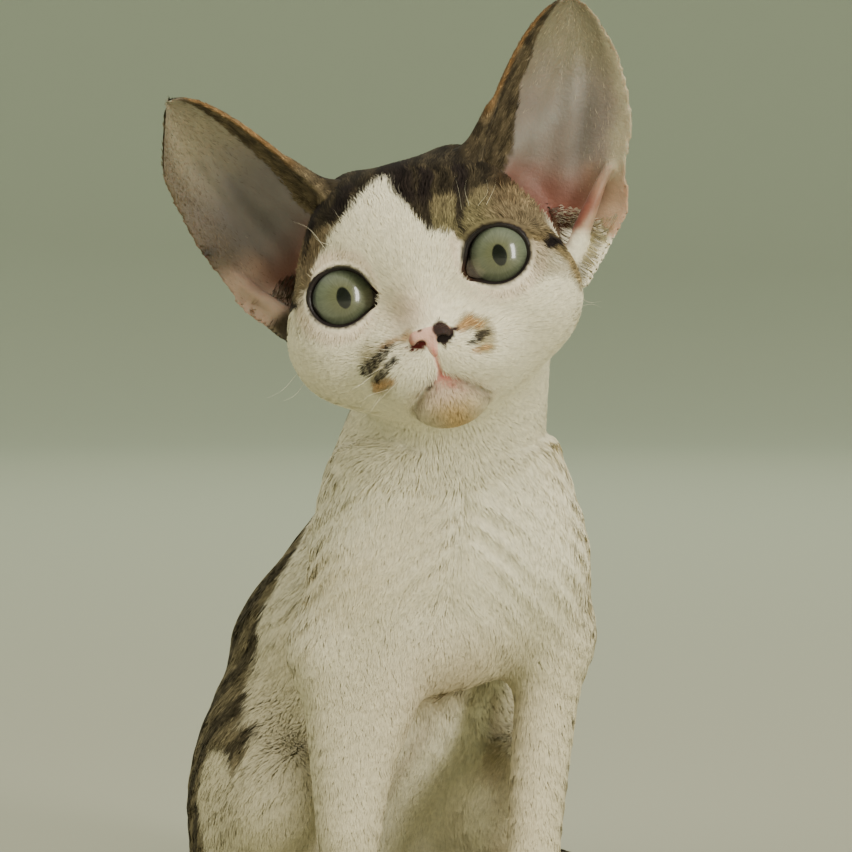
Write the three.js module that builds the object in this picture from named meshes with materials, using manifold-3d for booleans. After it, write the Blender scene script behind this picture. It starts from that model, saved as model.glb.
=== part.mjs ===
// A devon rex kitten of about ten weeks, sitting upright with its head tilted to its right, life size.
// Millimetres, +Z up. The chest faces -Y, the cat's left is +X, and the floor is z = 0.

import * as THREE from "three";
import { mergeVertices } from "three/addons/utils/BufferGeometryUtils.js";
import Module from "manifold-3d";

// Driving dimensions of the kitten
const EYE_LEVEL = 150; // the midpoint between the eyes, above the floor
const EYE_SPACING = 33.6; // between the centres of the two eyeballs
const EYEBALL = 8.2; // radius of an eyeball
const LID = 1.0; // thickness of an eyelid over the eyeball
const EAR_HEIGHT = 43.5; // from the middle of an ear's root to its tip
const EAR_WIDTH = 35.4; // across an ear at its widest, as seen from its open side
const EAR_THICK = 1.5; // through the middle of an ear
const LEAN = 3.5; // how far the chest leans to its left over the rump
const LEAN_FROM = 42; // the heights between which it leans over
const LEAN_TO = 96;
const SWAY = 3; // how far the feet stand to its right
const SWAY_FROM = 15; // the heights between which this fades
const SWAY_TO = 60;
const TAIL_ROOT_RADIUS = 6.6;
const TAIL_TIP_RADIUS = 3.2;
const GAP = 0.3; // between two nodes that meet
const DEG = Math.PI / 180;

// Sizes of the meshes' cells along x, y and z, longer along the limbs
const TRUNK_CELL = [6.6, 6.6, 7];
const THIGH_CELL = [4.6, 6, 6];
const FORELEG_CELL = [3.7, 3.7, 6.4];
const PAW_CELL = [2.4, 3, 2.8];
const FOOT_CELL = [2.4, 4.8, 2.8];
const HEAD_CELL = [2.85, 3, 2.85];
const TAIL_CELL = [4.2, 4.2, 3.8];
const NOSE_CELL = [1.05, 1.2, 1.05];

// Landmarks of the body, for the cat's left side where there are two
const CHEST = [0, -12, 89];
const BELLY = [0, 20, 63];
const PELVIS = [0, 41, 33.6];
const WITHERS = [0, 5, 108];
const LOIN = [0, 48, 66];
const NECK_ROOT = [0, -12, 104];
const NECK_TOP = [0.5, -24, 134];
const SHOULDER = [18, -19, 88];
const ELBOW = [25, -19, 70];
const WRIST = [19.8, -34, 16];
const FOREPAW = [19.2, -38, 5.2];
const FLANK = [9.5, 37.5, 64];
const HIP = [26, 27, 31];
const KNEE = [26, 0, 32];
const HEEL = [29, 38, 6];
const HIND_TOES = [31, -10, 5.4];
const HINDPAW = [31.5, -16, 5];
const TAIL_ROOT = [0, 66, 9];
const BRISKET = [0, -20, 72];
const FOLD = [
  [-12, -24, 72],
  [-17, -27, 52],
  [-20.5, -31, 34],
];

// Landmarks of the head, in its own frame, whose origin is midway between the eyeballs:
// x runs to the cat's left, -y out of the face and z to the crown
const EYE = [EYE_SPACING / 2, 0, 0];
const NOSE_TIP = [0, -15.2, -13.6];
const CHIN = [0, -8.2, -27];
const EAR_ROOT = [25, 12, 9.5];

// Where the head sits and how it is turned
const HEAD_PLACE = [-11.6, -44, EYE_LEVEL];
const HEAD_YAW = -25 * DEG;
const HEAD_NOD = 3 * DEG;
const HEAD_TILT = -15.5 * DEG;
const headFrame = new THREE.Matrix4()
  .makeRotationZ(HEAD_YAW)
  .multiply(new THREE.Matrix4().makeRotationX(-HEAD_NOD))
  .multiply(new THREE.Matrix4().makeRotationY(HEAD_TILT))
  .setPosition(...HEAD_PLACE);

const wasm = await Module();
wasm.setup();

// Distance fields: functions of a point that are negative inside a form and positive outside it

// A ball with three radii, turned by three angles.
function ball(center, radii, turns = [0, 0, 0]) {
  const turn = new THREE.Matrix4().makeRotationFromEuler(new THREE.Euler(...turns));
  const back = turn.transpose().elements;
  const [cx, cy, cz] = center;
  const [rx, ry, rz] = radii;
  return (x, y, z) => {
    const dx = x - cx;
    const dy = y - cy;
    const dz = z - cz;
    const px = (back[0] * dx + back[4] * dy + back[8] * dz) / rx;
    const py = (back[1] * dx + back[5] * dy + back[9] * dz) / ry;
    const pz = (back[2] * dx + back[6] * dy + back[10] * dz) / rz;
    const near = Math.hypot(px, py, pz);
    const slope = Math.hypot(px / rx, py / ry, pz / rz);
    return slope < 1e-9 ? -Math.min(rx, ry, rz) : (near * (near - 1)) / slope;
  };
}

// A rod with round ends, of one radius at its start and another at its end.
function rod(from, to, startRadius, endRadius) {
  const [ax, ay, az] = from;
  const bx = to[0] - ax;
  const by = to[1] - ay;
  const bz = to[2] - az;
  const length2 = bx * bx + by * by + bz * bz;
  return (x, y, z) => {
    const px = x - ax;
    const py = y - ay;
    const pz = z - az;
    const along = Math.min(1, Math.max(0, (px * bx + py * by + pz * bz) / length2));
    const radius = startRadius + (endRadius - startRadius) * along;
    return Math.hypot(px - bx * along, py - by * along, pz - bz * along) - radius;
  };
}

// Fields joined, and melted together where they are nearer than the width.
function melt(width, ...fields) {
  return (x, y, z) => {
    let d = fields[0](x, y, z);
    for (let i = 1; i < fields.length; i++) {
      const e = fields[i](x, y, z);
      const share = Math.max(width - Math.abs(d - e), 0) / width;
      d = Math.min(d, e) - (share * share * width) / 4;
    }
    return d;
  };
}

// A field with a hollow pressed into it, with a soft edge of that width.
function press(width, field, hollow) {
  return (x, y, z) => {
    const d = field(x, y, z);
    const e = -hollow(x, y, z);
    const share = Math.max(width - Math.abs(d - e), 0) / width;
    return Math.max(d, e) + (share * share * width) / 4;
  };
}

// A field of the cat's left half, the same on its right.
const both = (field) => (x, y, z) => field(Math.abs(x), y, z);

// A field that is given in a frame, as a field of the world.
function placed(field, frame) {
  const m = frame.clone().invert().elements;
  return (x, y, z) =>
    field(
      m[0] * x + m[4] * y + m[8] * z + m[12],
      m[1] * x + m[5] * y + m[9] * z + m[13],
      m[2] * x + m[6] * y + m[10] * z + m[14],
    );
}

// The forms of the cat

const between = (a, b, share) => a.map((v, i) => v + (b[i] - v) * share);
const shifted = (a, dx, dy, dz) => [a[0] + dx, a[1] + dy, a[2] + dz];

function trunkField() {
  const middle = melt(
    14,
    ball(CHEST, [25, 25.5, 28], [12 * DEG, 0, 0]),
    ball(BELLY, [28.5, 28, 34], [-24 * DEG, 0, 0]),
    ball(PELVIS, [28.5, 31, 35], [-12 * DEG, 0, 0]),
    rod(WITHERS, LOIN, 13, 15.2),
    ball(FLANK, [18.5, 22, 15]),
  );
  const tailRoot = rod(between(PELVIS, TAIL_ROOT, 0.5), shifted(TAIL_ROOT, 4, 3, -1), 12, 6.8);
  return melt(8, middle, tailRoot);
}

function forelegField() {
  return melt(
    7,
    ball(SHOULDER, [11.5, 15.5, 25], [12 * DEG, -4 * DEG, 0]),
    rod(shifted(SHOULDER, 1, -2, 0), ELBOW, 10.5, 8.8),
    rod(ELBOW, WRIST, 7.9, 5.5),
    rod(WRIST, shifted(FOREPAW, 0, 1, 1.5), 5.6, 5.8),
  );
}

function hindlegField() {
  return melt(
    9,
    ball(HIP, [13.5, 28, 28], [-14 * DEG, 0, 6 * DEG]),
    ball(KNEE, [9, 11, 13]),
    rod(KNEE, HEEL, 9, 6.4),
    rod(HEEL, HIND_TOES, 6.5, 5.8),
  );
}

// A paw at its centre, with the toes towards -y: a pad and four toes, the two in the middle further out.
function pawField(center, size) {
  const TOES = [
    [-5.6, -3.2],
    [-2.0, -6.4],
    [2.0, -6.4],
    [5.6, -3.2],
  ];
  const toes = TOES.map(([across, out]) =>
    rod(
      shifted(center, across * 0.8 * size, (out + 7) * size, 0.6),
      shifted(center, across * size, out * size, -1.4),
      3.1 * size,
      2.9 * size,
    ),
  );
  const pad = ball(shifted(center, 0, 3.5 * size, 0), [7.2 * size, 7.5 * size, 6 * size]);
  return melt(1.6, pad, ...toes);
}

const rise = (z, from, to) => {
  const share = Math.min(1, Math.max(0, (z - from) / (to - from)));
  return share * share * (3 - 2 * share);
};

// The trunk and the legs lean over together; the neck follows the head. The chest hangs in a fold along the
// right foreleg.
function bodyField() {
  const legs = melt(3, forelegField(), hindlegField());
  const paws = melt(3, pawField(FOREPAW, 1), pawField(HINDPAW, 0.98));
  const halves = both(melt(9, melt(3.5, legs, paws), trunkField()));
  const neck = rod(NECK_ROOT, NECK_TOP, 22.5, 19.5);
  const fold = [rod(FOLD[0], FOLD[1], 9, 7.6), rod(FOLD[1], FOLD[2], 7.6, 4.6)];
  const brisket = ball(BRISKET, [14, 12, 12]);
  const upright = melt(8, melt(7, melt(12, halves, neck), ...fold), brisket);
  return (x, y, z) => {
    const lean = LEAN * rise(z, LEAN_FROM, LEAN_TO) - SWAY * (1 - rise(z, SWAY_FROM, SWAY_TO));
    return upright(x - lean, y, z);
  };
}

function headField() {
  const skull = melt(
    9,
    ball([0, 14, 4], [25.5, 24, 19.4]),
    ball([0, 3.5, 9], [19.5, 13, 13.8]),
    both(ball([17.5, 6, -8.5], [14, 15, 14.5], [0, 0, 12 * DEG])),
    ball([0, 5, -19], [17, 15, 11.5]),
    both(ball(shifted(EAR_ROOT, -13.5, 3, 2.5), [8, 10, 13])),
    both(ball(shifted(EAR_ROOT, -8, 10, -4.5), [11, 9, 12], [0, 20 * DEG, 0])),
  );
  const muzzle = melt(
    3.2,
    ball([0, -4.5, -17.5], [14, 10.5, 9.5]),
    both(ball([6.4, -10.6, -18.6], [7.4, 5.8, 6], [0, 0, 16 * DEG])),
    rod([0, -3.6, 3], [0, -11.6, -10.4], 5.6, 3.6),
    ball(shifted(NOSE_TIP, 0, 2.4, 0.6), [4.6, 3.4, 3.6]),
    ball(CHIN, [7.4, 6, 5]),
  );
  const lids = both(ball(shifted(EYE, 0, 0.2, 0), Array(3).fill(EYEBALL + LID)));
  return melt(3, melt(7, skull, muzzle), lids);
}

// The bare tip of the nose: two rounded wings over a narrow foot, with a nostril pressed into each.
function noseField() {
  const wing = both(ball(shifted(NOSE_TIP, 1.8, 0.7, 1), [2.5, 2.2, 2]));
  const bridge = ball(shifted(NOSE_TIP, 0, 0.9, 1.3), [2, 2, 1.7]);
  const foot = ball(shifted(NOSE_TIP, 0, 0.6, -1.2), [1.7, 2, 2.2]);
  const nostril = both(ball(shifted(NOSE_TIP, 2.5, -1.5, 0.6), [1, 1.3, 0.75], [0, 24 * DEG, 0]));
  return press(0.4, melt(1.2, wing, bridge, foot), nostril);
}

const body = bodyField();
const faceField = headField();
const head = placed(faceField, headFrame);
const animal = melt(9, body, head);

// The tail: rods along a curve that leaves the rump, turns forward on the floor and ends beside the hind paw
const tailCurve = new THREE.CatmullRomCurve3(
  [
    [0, 58, 14],
    [9, 76, 6.6],
    [30, 81, 5.2],
    [50, 69, 4.7],
    [58, 43, 4.2],
    [57, 14, 3.6],
    [50, -8, 2.9],
  ].map((p) => new THREE.Vector3(...p)),
);

function tailField() {
  const STEPS = 16;
  const radius = (share) => TAIL_ROOT_RADIUS + (TAIL_TIP_RADIUS - TAIL_ROOT_RADIUS) * share;
  const rods = [];
  for (let i = 0; i < STEPS; i++) {
    const from = tailCurve.getPointAt(i / STEPS).toArray();
    const to = tailCurve.getPointAt((i + 1) / STEPS).toArray();
    rods.push(rod(from, to, radius(i / STEPS), radius((i + 1) / STEPS)));
  }
  return melt(1.5, ...rods);
}

// Meshing

// The corners of a cell, its edges as pairs of corners, and its faces as rings of four edges round four
// corners
const CORNERS = [0, 1, 2, 3, 4, 5, 6, 7].map((c) => [c & 1, (c >> 1) & 1, (c >> 2) & 1]);
const EDGES = [];
for (let a = 0; a < 8; a++)
  for (const bit of [1, 2, 4]) if (!(a & bit)) EDGES.push([a, a | bit]);
const edgeBetween = (a, b) => EDGES.findIndex(([c, d]) => c === Math.min(a, b) && d === Math.max(a, b));
const FACES = [];
for (const [bit, right, up] of [
  [1, 2, 4],
  [2, 4, 1],
  [4, 1, 2],
])
  for (const base of [0, bit]) {
    const ring = [base, base + right, base + right + up, base + up];
    FACES.push(ring.map((corner, n) => [corner, edgeBetween(corner, ring[(n + 1) % 4])]));
  }

// The edges of a cell that the surface crosses, in groups that one sheet of the surface joins.
function sheets(inside) {
  const group = EDGES.map(([a, b], n) => (inside[a] === inside[b] ? -1 : n));
  const join = (a, b) => {
    const [old, kept] = [group[a], group[b]];
    group.forEach((g, n) => (group[n] = g === old ? kept : g));
  };
  for (const face of FACES) {
    const crossed = face.filter(([, edge]) => group[edge] >= 0).map(([, edge]) => edge);
    if (crossed.length === 2) join(crossed[0], crossed[1]);
    if (crossed.length === 4)
      face.forEach(([corner, edge], n) => {
        if (inside[corner]) join(edge, face[(n + 3) % 4][1]);
      });
  }
  return group;
}

// The zero surface of a field inside a box of a frame: one vertex for each sheet in each cell that the
// surface crosses, evened out and set on the surface, and one quad round each edge of the grid that it
// crosses.
function surface(field, low, high, cell, frame = new THREE.Matrix4()) {
  const [nx, ny, nz] = [0, 1, 2].map((i) => Math.ceil((high[i] - low[i]) / cell[i]) + 4);
  const m = frame.elements;
  const origin = low.map((v, n) => v - 1.5 * cell[n]);
  const toWorld = (x, y, z) => [
    m[0] * x + m[4] * y + m[8] * z + m[12],
    m[1] * x + m[5] * y + m[9] * z + m[13],
    m[2] * x + m[6] * y + m[10] * z + m[14],
  ];
  const inBox = (x, y, z) =>
    Math.max(low[0] - x, x - high[0], low[1] - y, y - high[1], low[2] - z, z - high[2]);
  const bounded = (x, y, z) => Math.max(field(...toWorld(x, y, z)), inBox(x, y, z));
  const at = (i, j, k) => i + nx * (j + ny * k);
  const values = new Float64Array(nx * ny * nz);
  for (let k = 0; k < nz; k++)
    for (let j = 0; j < ny; j++)
      for (let i = 0; i < nx; i++)
        values[at(i, j, k)] = bounded(...[i, j, k].map((g, n) => origin[n] + g * cell[n]));

  const vertexOf = new Int32Array(nx * ny * nz * EDGES.length).fill(-1);
  const points = [];
  for (let k = 0; k < nz - 1; k++)
    for (let j = 0; j < ny - 1; j++)
      for (let i = 0; i < nx - 1; i++) {
        const v = CORNERS.map(([a, b, c]) => values[at(i + a, j + b, k + c)]);
        const group = sheets(v.map((d) => d < 0));
        for (const name of new Set(group.filter((g) => g >= 0))) {
          const sum = [0, 0, 0];
          let crossings = 0;
          EDGES.forEach(([a, b], edge) => {
            if (group[edge] !== name) return;
            const share = v[a] / (v[a] - v[b]);
            for (let n = 0; n < 3; n++) sum[n] += CORNERS[a][n] + (CORNERS[b][n] - CORNERS[a][n]) * share;
            crossings++;
            vertexOf[at(i, j, k) * EDGES.length + edge] = points.length;
          });
          points.push([i, j, k].map((g, n) => origin[n] + (g + sum[n] / crossings) * cell[n]));
        }
      }

  const quads = [];
  const addQuads = (step, sideA, sideB) => {
    const bits = (v) => v[0] + 2 * v[1] + 4 * v[2];
    const [along, first, second] = [bits(step), bits(sideA), bits(sideB)];
    for (let k = 1; k < nz - 1; k++)
      for (let j = 1; j < ny - 1; j++)
        for (let i = 1; i < nx - 1; i++) {
          const here = values[at(i, j, k)] < 0;
          if (here === values[at(i + step[0], j + step[1], k + step[2])] < 0) continue;
          const ring = [
            [0, 0],
            [1, 0],
            [1, 1],
            [0, 1],
          ].map(([a, b]) => {
            const [ci, cj, ck] = [i, j, k].map((g, n) => g - a * sideA[n] - b * sideB[n]);
            const start = a * first + b * second;
            return vertexOf[at(ci, cj, ck) * EDGES.length + edgeBetween(start, start + along)];
          });
          quads.push(here ? ring : ring.reverse());
        }
  };
  addQuads([1, 0, 0], [0, 1, 0], [0, 0, 1]);
  addQuads([0, 1, 0], [0, 0, 1], [1, 0, 0]);
  addQuads([0, 0, 1], [1, 0, 0], [0, 1, 0]);

  const neighbours = points.map(() => new Set());
  for (const q of quads)
    q.forEach((a, n) => {
      neighbours[a].add(q[(n + 1) % 4]);
      neighbours[q[(n + 1) % 4]].add(a);
    });
  const EVENINGS = 4;
  for (let round = 0; round < EVENINGS; round++) {
    const even = points.map((p, n) => {
      const near = [...neighbours[n]].map((a) => points[a]);
      return p.map((v, axis) => v / 2 + near.reduce((s, q) => s + q[axis], 0) / near.length / 2);
    });
    even.forEach((p, n) => (points[n] = onSurface(bounded, p, Math.min(...cell) / 2)));
  }

  const triangles = [];
  const length2 = (a, b) => points[a].reduce((s, v, n) => s + (v - points[b][n]) ** 2, 0);
  for (const [a, b, c, d] of quads)
    if (length2(a, c) < length2(b, d)) triangles.push(a, b, c, a, c, d);
    else triangles.push(a, b, d, b, c, d);
  return closed(points.map((p) => toWorld(...p)), triangles);
}

// A point moved along a field's slope on to its zero surface, in two moves of a limited reach.
function onSurface(field, point, reach) {
  const STEP = 0.05;
  let [x, y, z] = point;
  for (let round = 0; round < 2; round++) {
    const d = field(x, y, z);
    const slope = [
      (field(x + STEP, y, z) - field(x - STEP, y, z)) / (2 * STEP),
      (field(x, y + STEP, z) - field(x, y - STEP, z)) / (2 * STEP),
      (field(x, y, z + STEP) - field(x, y, z - STEP)) / (2 * STEP),
    ];
    const steepness = Math.max(slope[0] ** 2 + slope[1] ** 2 + slope[2] ** 2, 0.2);
    const move = Math.max(-reach, Math.min(reach, d)) / steepness;
    x -= slope[0] * move;
    y -= slope[1] * move;
    z -= slope[2] * move;
  }
  return [x, y, z];
}

// A closed geometry of points and the triangles between them.
function closed(points, triangles) {
  const made = new THREE.BufferGeometry();
  made.setAttribute("position", new THREE.Float32BufferAttribute(points.flat(), 3));
  made.setIndex(triangles);
  return made;
}

// Solids, for joining and cutting

function solid(geometry, matrix = new THREE.Matrix4()) {
  const bare = geometry.clone().applyMatrix4(matrix);
  for (const name of Object.keys(bare.attributes)) if (name !== "position") bare.deleteAttribute(name);
  const merged = mergeVertices(bare, 1e-4);
  return new wasm.Manifold(
    new wasm.Mesh({
      numProp: 3,
      vertProperties: merged.attributes.position.array,
      triVerts: new Uint32Array(merged.index.array),
    }),
  );
}

const largest = (made) => made.decompose().reduce((a, b) => (a.volume() > b.volume() ? a : b));

// Everything on one side of a plane: the side that its direction points to, from the offset on.
function side(point, direction, offset = GAP / 2) {
  const REACH = 400;
  const way = new THREE.Vector3(...direction).normalize();
  const turn = new THREE.Quaternion().setFromUnitVectors(new THREE.Vector3(0, 0, 1), way);
  const middle = new THREE.Vector3(...point).addScaledVector(way, offset + REACH / 2);
  const matrix = new THREE.Matrix4().compose(middle, turn, new THREE.Vector3(1, 1, 1));
  return solid(new THREE.BoxGeometry(REACH, REACH, REACH), matrix);
}

// A ball as a cutting tool, a little larger by the margin where another node has to stay clear of it.
function ballTool(center, radii, margin = 0, sides = 12) {
  const matrix = new THREE.Matrix4().compose(
    new THREE.Vector3(...center),
    new THREE.Quaternion(),
    new THREE.Vector3(...radii.map((r) => r + margin)),
  );
  return solid(new THREE.SphereGeometry(1, sides, sides / 2 + 1), matrix);
}

// A box between two corners as a cutting tool.
function boxTool(low, high, margin = 0) {
  const size = low.map((v, n) => high[n] - v + 2 * margin);
  const middle = low.map((v, n) => (v + high[n]) / 2);
  return solid(new THREE.BoxGeometry(...size), new THREE.Matrix4().makeTranslation(...middle));
}

// Ears, in the head's frame: a thin cup on a sloping root, open forwards and outwards

const EAR_TURN = 30 * DEG; // how far the cup opens outwards from straight ahead
const EAR_WAY = new THREE.Vector3(0.43, 0.06, 0.9).normalize();
const EAR_OPEN = new THREE.Vector3(Math.sin(EAR_TURN), -Math.cos(EAR_TURN), 0);
const EAR_SUNK = 15; // how far the cup starts below the middle of its root

// Half the cup's width, its middle and its depth at a height over the root: widest a little above the root,
// drawn in to a funnel below it and to a rounded tip above
function earHalfWidth(t) {
  const up = Math.min(1, Math.max(0, t / EAR_HEIGHT));
  return (EAR_WIDTH / 2) * (1 - up ** 2.3) ** 0.6 * (1 - 0.1 * earFunnel(t) ** 1.3);
}
const earFunnel = (t) => Math.max(0, 4 - t) / (EAR_SUNK + 4);
const earMiddle = (t) => -0.4 + 3 * Math.sin((Math.PI * (t + 6)) / 52) - 0.5 * earFunnel(t);
const earDepth = (t) => 13.5 * Math.max(0, 1 - Math.max(0, t + 4) / (EAR_HEIGHT + 6)) ** 0.8 + 0.6;

// The cup's middle sheet, at a share across from -1, the inner rim, to 1, the outer rim, and a height along
// the ear.
function earPoint(across, t) {
  const s = earMiddle(t) + across * earHalfWidth(t);
  const curl = Math.max(0, 1 - Math.abs(across) ** 2.2) ** 0.85;
  return [s, t, -earDepth(t) * curl];
}

function earGeometry(mirror) {
  const ACROSS = 11;
  const ALONG = 11;
  const across = new THREE.Vector3().crossVectors(EAR_WAY, EAR_OPEN).normalize();
  const open = new THREE.Vector3().crossVectors(across, EAR_WAY);
  const frame = new THREE.Matrix4().makeBasis(across, EAR_WAY, open).setPosition(...EAR_ROOT);
  const height = (v) =>
    -EAR_SUNK + (EAR_HEIGHT - 0.25 + EAR_SUNK) * Math.sin((Math.max(0, v) / ALONG) * 90 * DEG);
  const share = (u) => Math.sin(((u / ACROSS) * 2 - 1) * 85 * DEG) / Math.sin(85.2 * DEG);
  const sheet = (u, v) => new THREE.Vector3(...earPoint(share(u), height(v)));
  const front = [];
  const rear = [];
  for (let v = 0; v <= ALONG; v++)
    for (let u = 0; u <= ACROSS; u++) {
      const here = sheet(u, v);
      const du = sheet(u + 0.02, v).sub(sheet(u - 0.02, v));
      const dv = sheet(u, v + (v < ALONG ? 0.02 : 0)).sub(sheet(u, v - 0.02));
      const out = new THREE.Vector3().crossVectors(du, dv).normalize();
      if (out.z < 0) out.negate();
      const thin = EAR_THICK * (0.5 + 0.5 * Math.cos(share(u) * 80 * DEG) ** 0.5);
      front.push(here.clone().addScaledVector(out, thin / 2));
      rear.push(here.clone().addScaledVector(out, -thin / 2));
    }
  const points = [...front, ...rear].map((p) => p.applyMatrix4(frame).toArray());
  const across1 = ACROSS + 1;
  const behind = front.length;
  const triangles = [];
  const quad = (a, b, c, d) => triangles.push(a, b, c, a, c, d);
  for (let v = 0; v < ALONG; v++)
    for (let u = 0; u < ACROSS; u++) {
      const a = v * across1 + u;
      quad(a, a + 1, a + 1 + across1, a + across1);
      const b = a + behind;
      triangles.push(b, b + 1 + across1, b + 1, b, b + across1, b + 1 + across1);
    }
  const rim = [];
  for (let u = 0; u < ACROSS; u++) rim.push(u);
  for (let v = 0; v < ALONG; v++) rim.push(v * across1 + ACROSS);
  for (let u = ACROSS; u > 0; u--) rim.push(ALONG * across1 + u);
  for (let v = ALONG; v > 0; v--) rim.push(v * across1);
  rim.forEach((a, n) => {
    const b = rim[(n + 1) % rim.length];
    quad(a, a + behind, b + behind, b);
  });
  const flip = (t) => t.map((_, n) => t[n - (n % 3) + [0, 2, 1][n % 3]]);
  const placedPoints = mirror ? points.map(([x, y, z]) => [-x, y, z]) : points;
  return closed(placedPoints, mirror ? flip(triangles) : triangles).applyMatrix4(headFrame);
}

// Details of the face, in the head's frame, as tools that are joined to it or cut out of it

// The opening between the lids: nearly round, drawn out to a corner beside the nose.
function lidOpening(mirror) {
  const WIDE = 6.5;
  const HIGH = 5.8;
  const CORNER = 1.9;
  const CORNER_ANGLE = 199 * DEG;
  const SIDES = 22;
  const outline = [];
  for (let n = 0; n < SIDES; n++) {
    const angle = CORNER_ANGLE + (n / SIDES) * 360 * DEG;
    const out = 1 + (CORNER / WIDE) * Math.max(0, Math.cos(angle - CORNER_ANGLE)) ** 16;
    outline.push(new THREE.Vector2(Math.cos(angle) * WIDE * out, Math.sin(angle) * HIGH * out));
  }
  const tool = new THREE.ExtrudeGeometry(new THREE.Shape(outline), { depth: 14, bevelEnabled: false });
  const matrix = new THREE.Matrix4().makeRotationX(90 * DEG);
  matrix.premultiply(new THREE.Matrix4().makeTranslation(EYE[0], -1.2, 0));
  const made = solid(tool, matrix);
  return (mirror ? made.mirror([1, 0, 0]) : made).transform(headFrame.elements);
}

// Rods laid on the face along curves: the crease under the nose and the line of the mouth on either side.
function mouthLines() {
  const RADIUS = 0.5;
  const SIDES = 4;
  const STEPS = 4;
  const REACH = 2.5;
  const top = shifted(NOSE_TIP, 0, 1.2, -3.2);
  const fork = [0, -15, -20.4];
  const lines = [[top, between(top, fork, 0.5), fork]];
  for (const hand of [-1, 1])
    lines.push([
      [0, -15, -20.2],
      [2.4 * hand, -15, -21.4],
      [5 * hand, -13.4, -23.4],
      [7 * hand, -11, -25.8],
      [8.2 * hand, -8, -27.4],
    ]);
  const section = new THREE.Shape();
  section.absarc(0, 0, RADIUS, 0, 360 * DEG);
  return lines
    .map((points) => {
      const onFace = points.map((p) => new THREE.Vector3(...onSurface(faceField, p, REACH)));
      const extrudePath = new THREE.CatmullRomCurve3(onFace);
      const tube = new THREE.ExtrudeGeometry(section, { steps: STEPS, extrudePath, curveSegments: SIDES });
      return solid(tube, headFrame);
    })
    .reduce((a, b) => a.add(b));
}

// The group

const colours = {
  coat: { color: 0xd9d2c0, roughness: 0.9, metalness: 0 },
  tabby: { color: 0x6e5b45, roughness: 0.9, metalness: 0 },
  nose: { color: 0xd99a94, roughness: 0.55, metalness: 0 },
  eye: { color: 0x8d9c86, roughness: 0.1, metalness: 0 },
};
const kitten = new THREE.Group();

function addNode(name, made, look) {
  const whole = largest(made);
  const { vertProperties, triVerts } = whole.getMesh();
  const geometry = new THREE.BufferGeometry();
  geometry.setAttribute("position", new THREE.BufferAttribute(vertProperties, 3));
  geometry.setIndex(new THREE.BufferAttribute(triVerts, 1));
  geometry.computeVertexNormals();
  const mesh = new THREE.Mesh(geometry, new THREE.MeshStandardMaterial(colours[look]));
  mesh.name = name;
  kitten.add(mesh);
}

const floor = side([0, 0, 0], [0, 0, 1], 0);
const mirrored = (point, left) => [left ? point[0] : -point[0], point[1], point[2]];
const away = (v) => v.map((n) => -n);
const grown = (field, margin) => (x, y, z) => field(x, y, z) - margin;

// The head, from its field and the neck's, above a cut under the jaw
const HEAD_BOX = [
  [-42, -24, -44],
  [42, 46, 34],
];
const inHead = (p) => new THREE.Vector3(...p).applyMatrix4(headFrame).toArray();
const headCut = inHead([0, 14, -22]);
const headCutWay = new THREE.Vector3(0, -0.6, 0.8).transformDirection(headFrame).toArray();
const EYE_SIDES = 16;
const wholeHead = solid(surface(animal, ...HEAD_BOX, HEAD_CELL, headFrame));
let headSolid = wholeHead.intersect(side(headCut, headCutWay));
for (const left of [true, false]) {
  const eye = inHead(mirrored(EYE, left));
  const eyeball = (margin) => ballTool(eye, Array(3).fill(EYEBALL), margin, EYE_SIDES);
  headSolid = headSolid.subtract(lidOpening(!left)).subtract(eyeball(GAP));
  addNode(left ? "eye_left" : "eye_right", eyeball(0), "eye");
}
const NOSE_BOX = [shifted(NOSE_TIP, -7, -4, -6), shifted(NOSE_TIP, 7, 6, 6)];
const nose = placed(noseField(), headFrame);
const clearOfNose = solid(surface(grown(nose, GAP), ...NOSE_BOX, NOSE_CELL, headFrame));
addNode("nose", solid(surface(nose, ...NOSE_BOX, NOSE_CELL, headFrame)), "nose");
addNode("head", headSolid.subtract(clearOfNose).subtract(mouthLines()), "coat");

const clearOfHead = solid(surface(grown(animal, GAP), ...HEAD_BOX, HEAD_CELL, headFrame));
addNode("ear_left", solid(earGeometry(false)).subtract(clearOfHead), "tabby");
addNode("ear_right", solid(earGeometry(true)).subtract(clearOfHead), "tabby");

// The trunk, parted from the neck by a sloping cut, and from the legs by balls and boxes that hold them
const NECK_CUT = [0, -10, 112];
const NECK_CUT_WAY = [0, -0.42, 0.9];
const legBalls = (left, margin) =>
  ballTool(mirrored([28, -20, 83], left), [15, 21, 30], margin).add(
    ballTool(mirrored([22, -31, 34], left), [17, 21, 44], margin),
  );
const thighBall = (left, margin) => ballTool(left ? [37, 22, 31] : [-41, 22, 31], [24, 40, 37], margin);
const forepawBox = (left, margin) =>
  left ? boxTool([4, -56, -6], [27, -22, 12], margin) : boxTool([-33, -56, -6], [-10, -22, 12], margin);
const hindfootBox = (left, margin) =>
  left ? boxTool([19, -32, -6], [47, 48, 11], margin) : boxTool([-53, -32, -6], [-25, 48, 11], margin);

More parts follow.
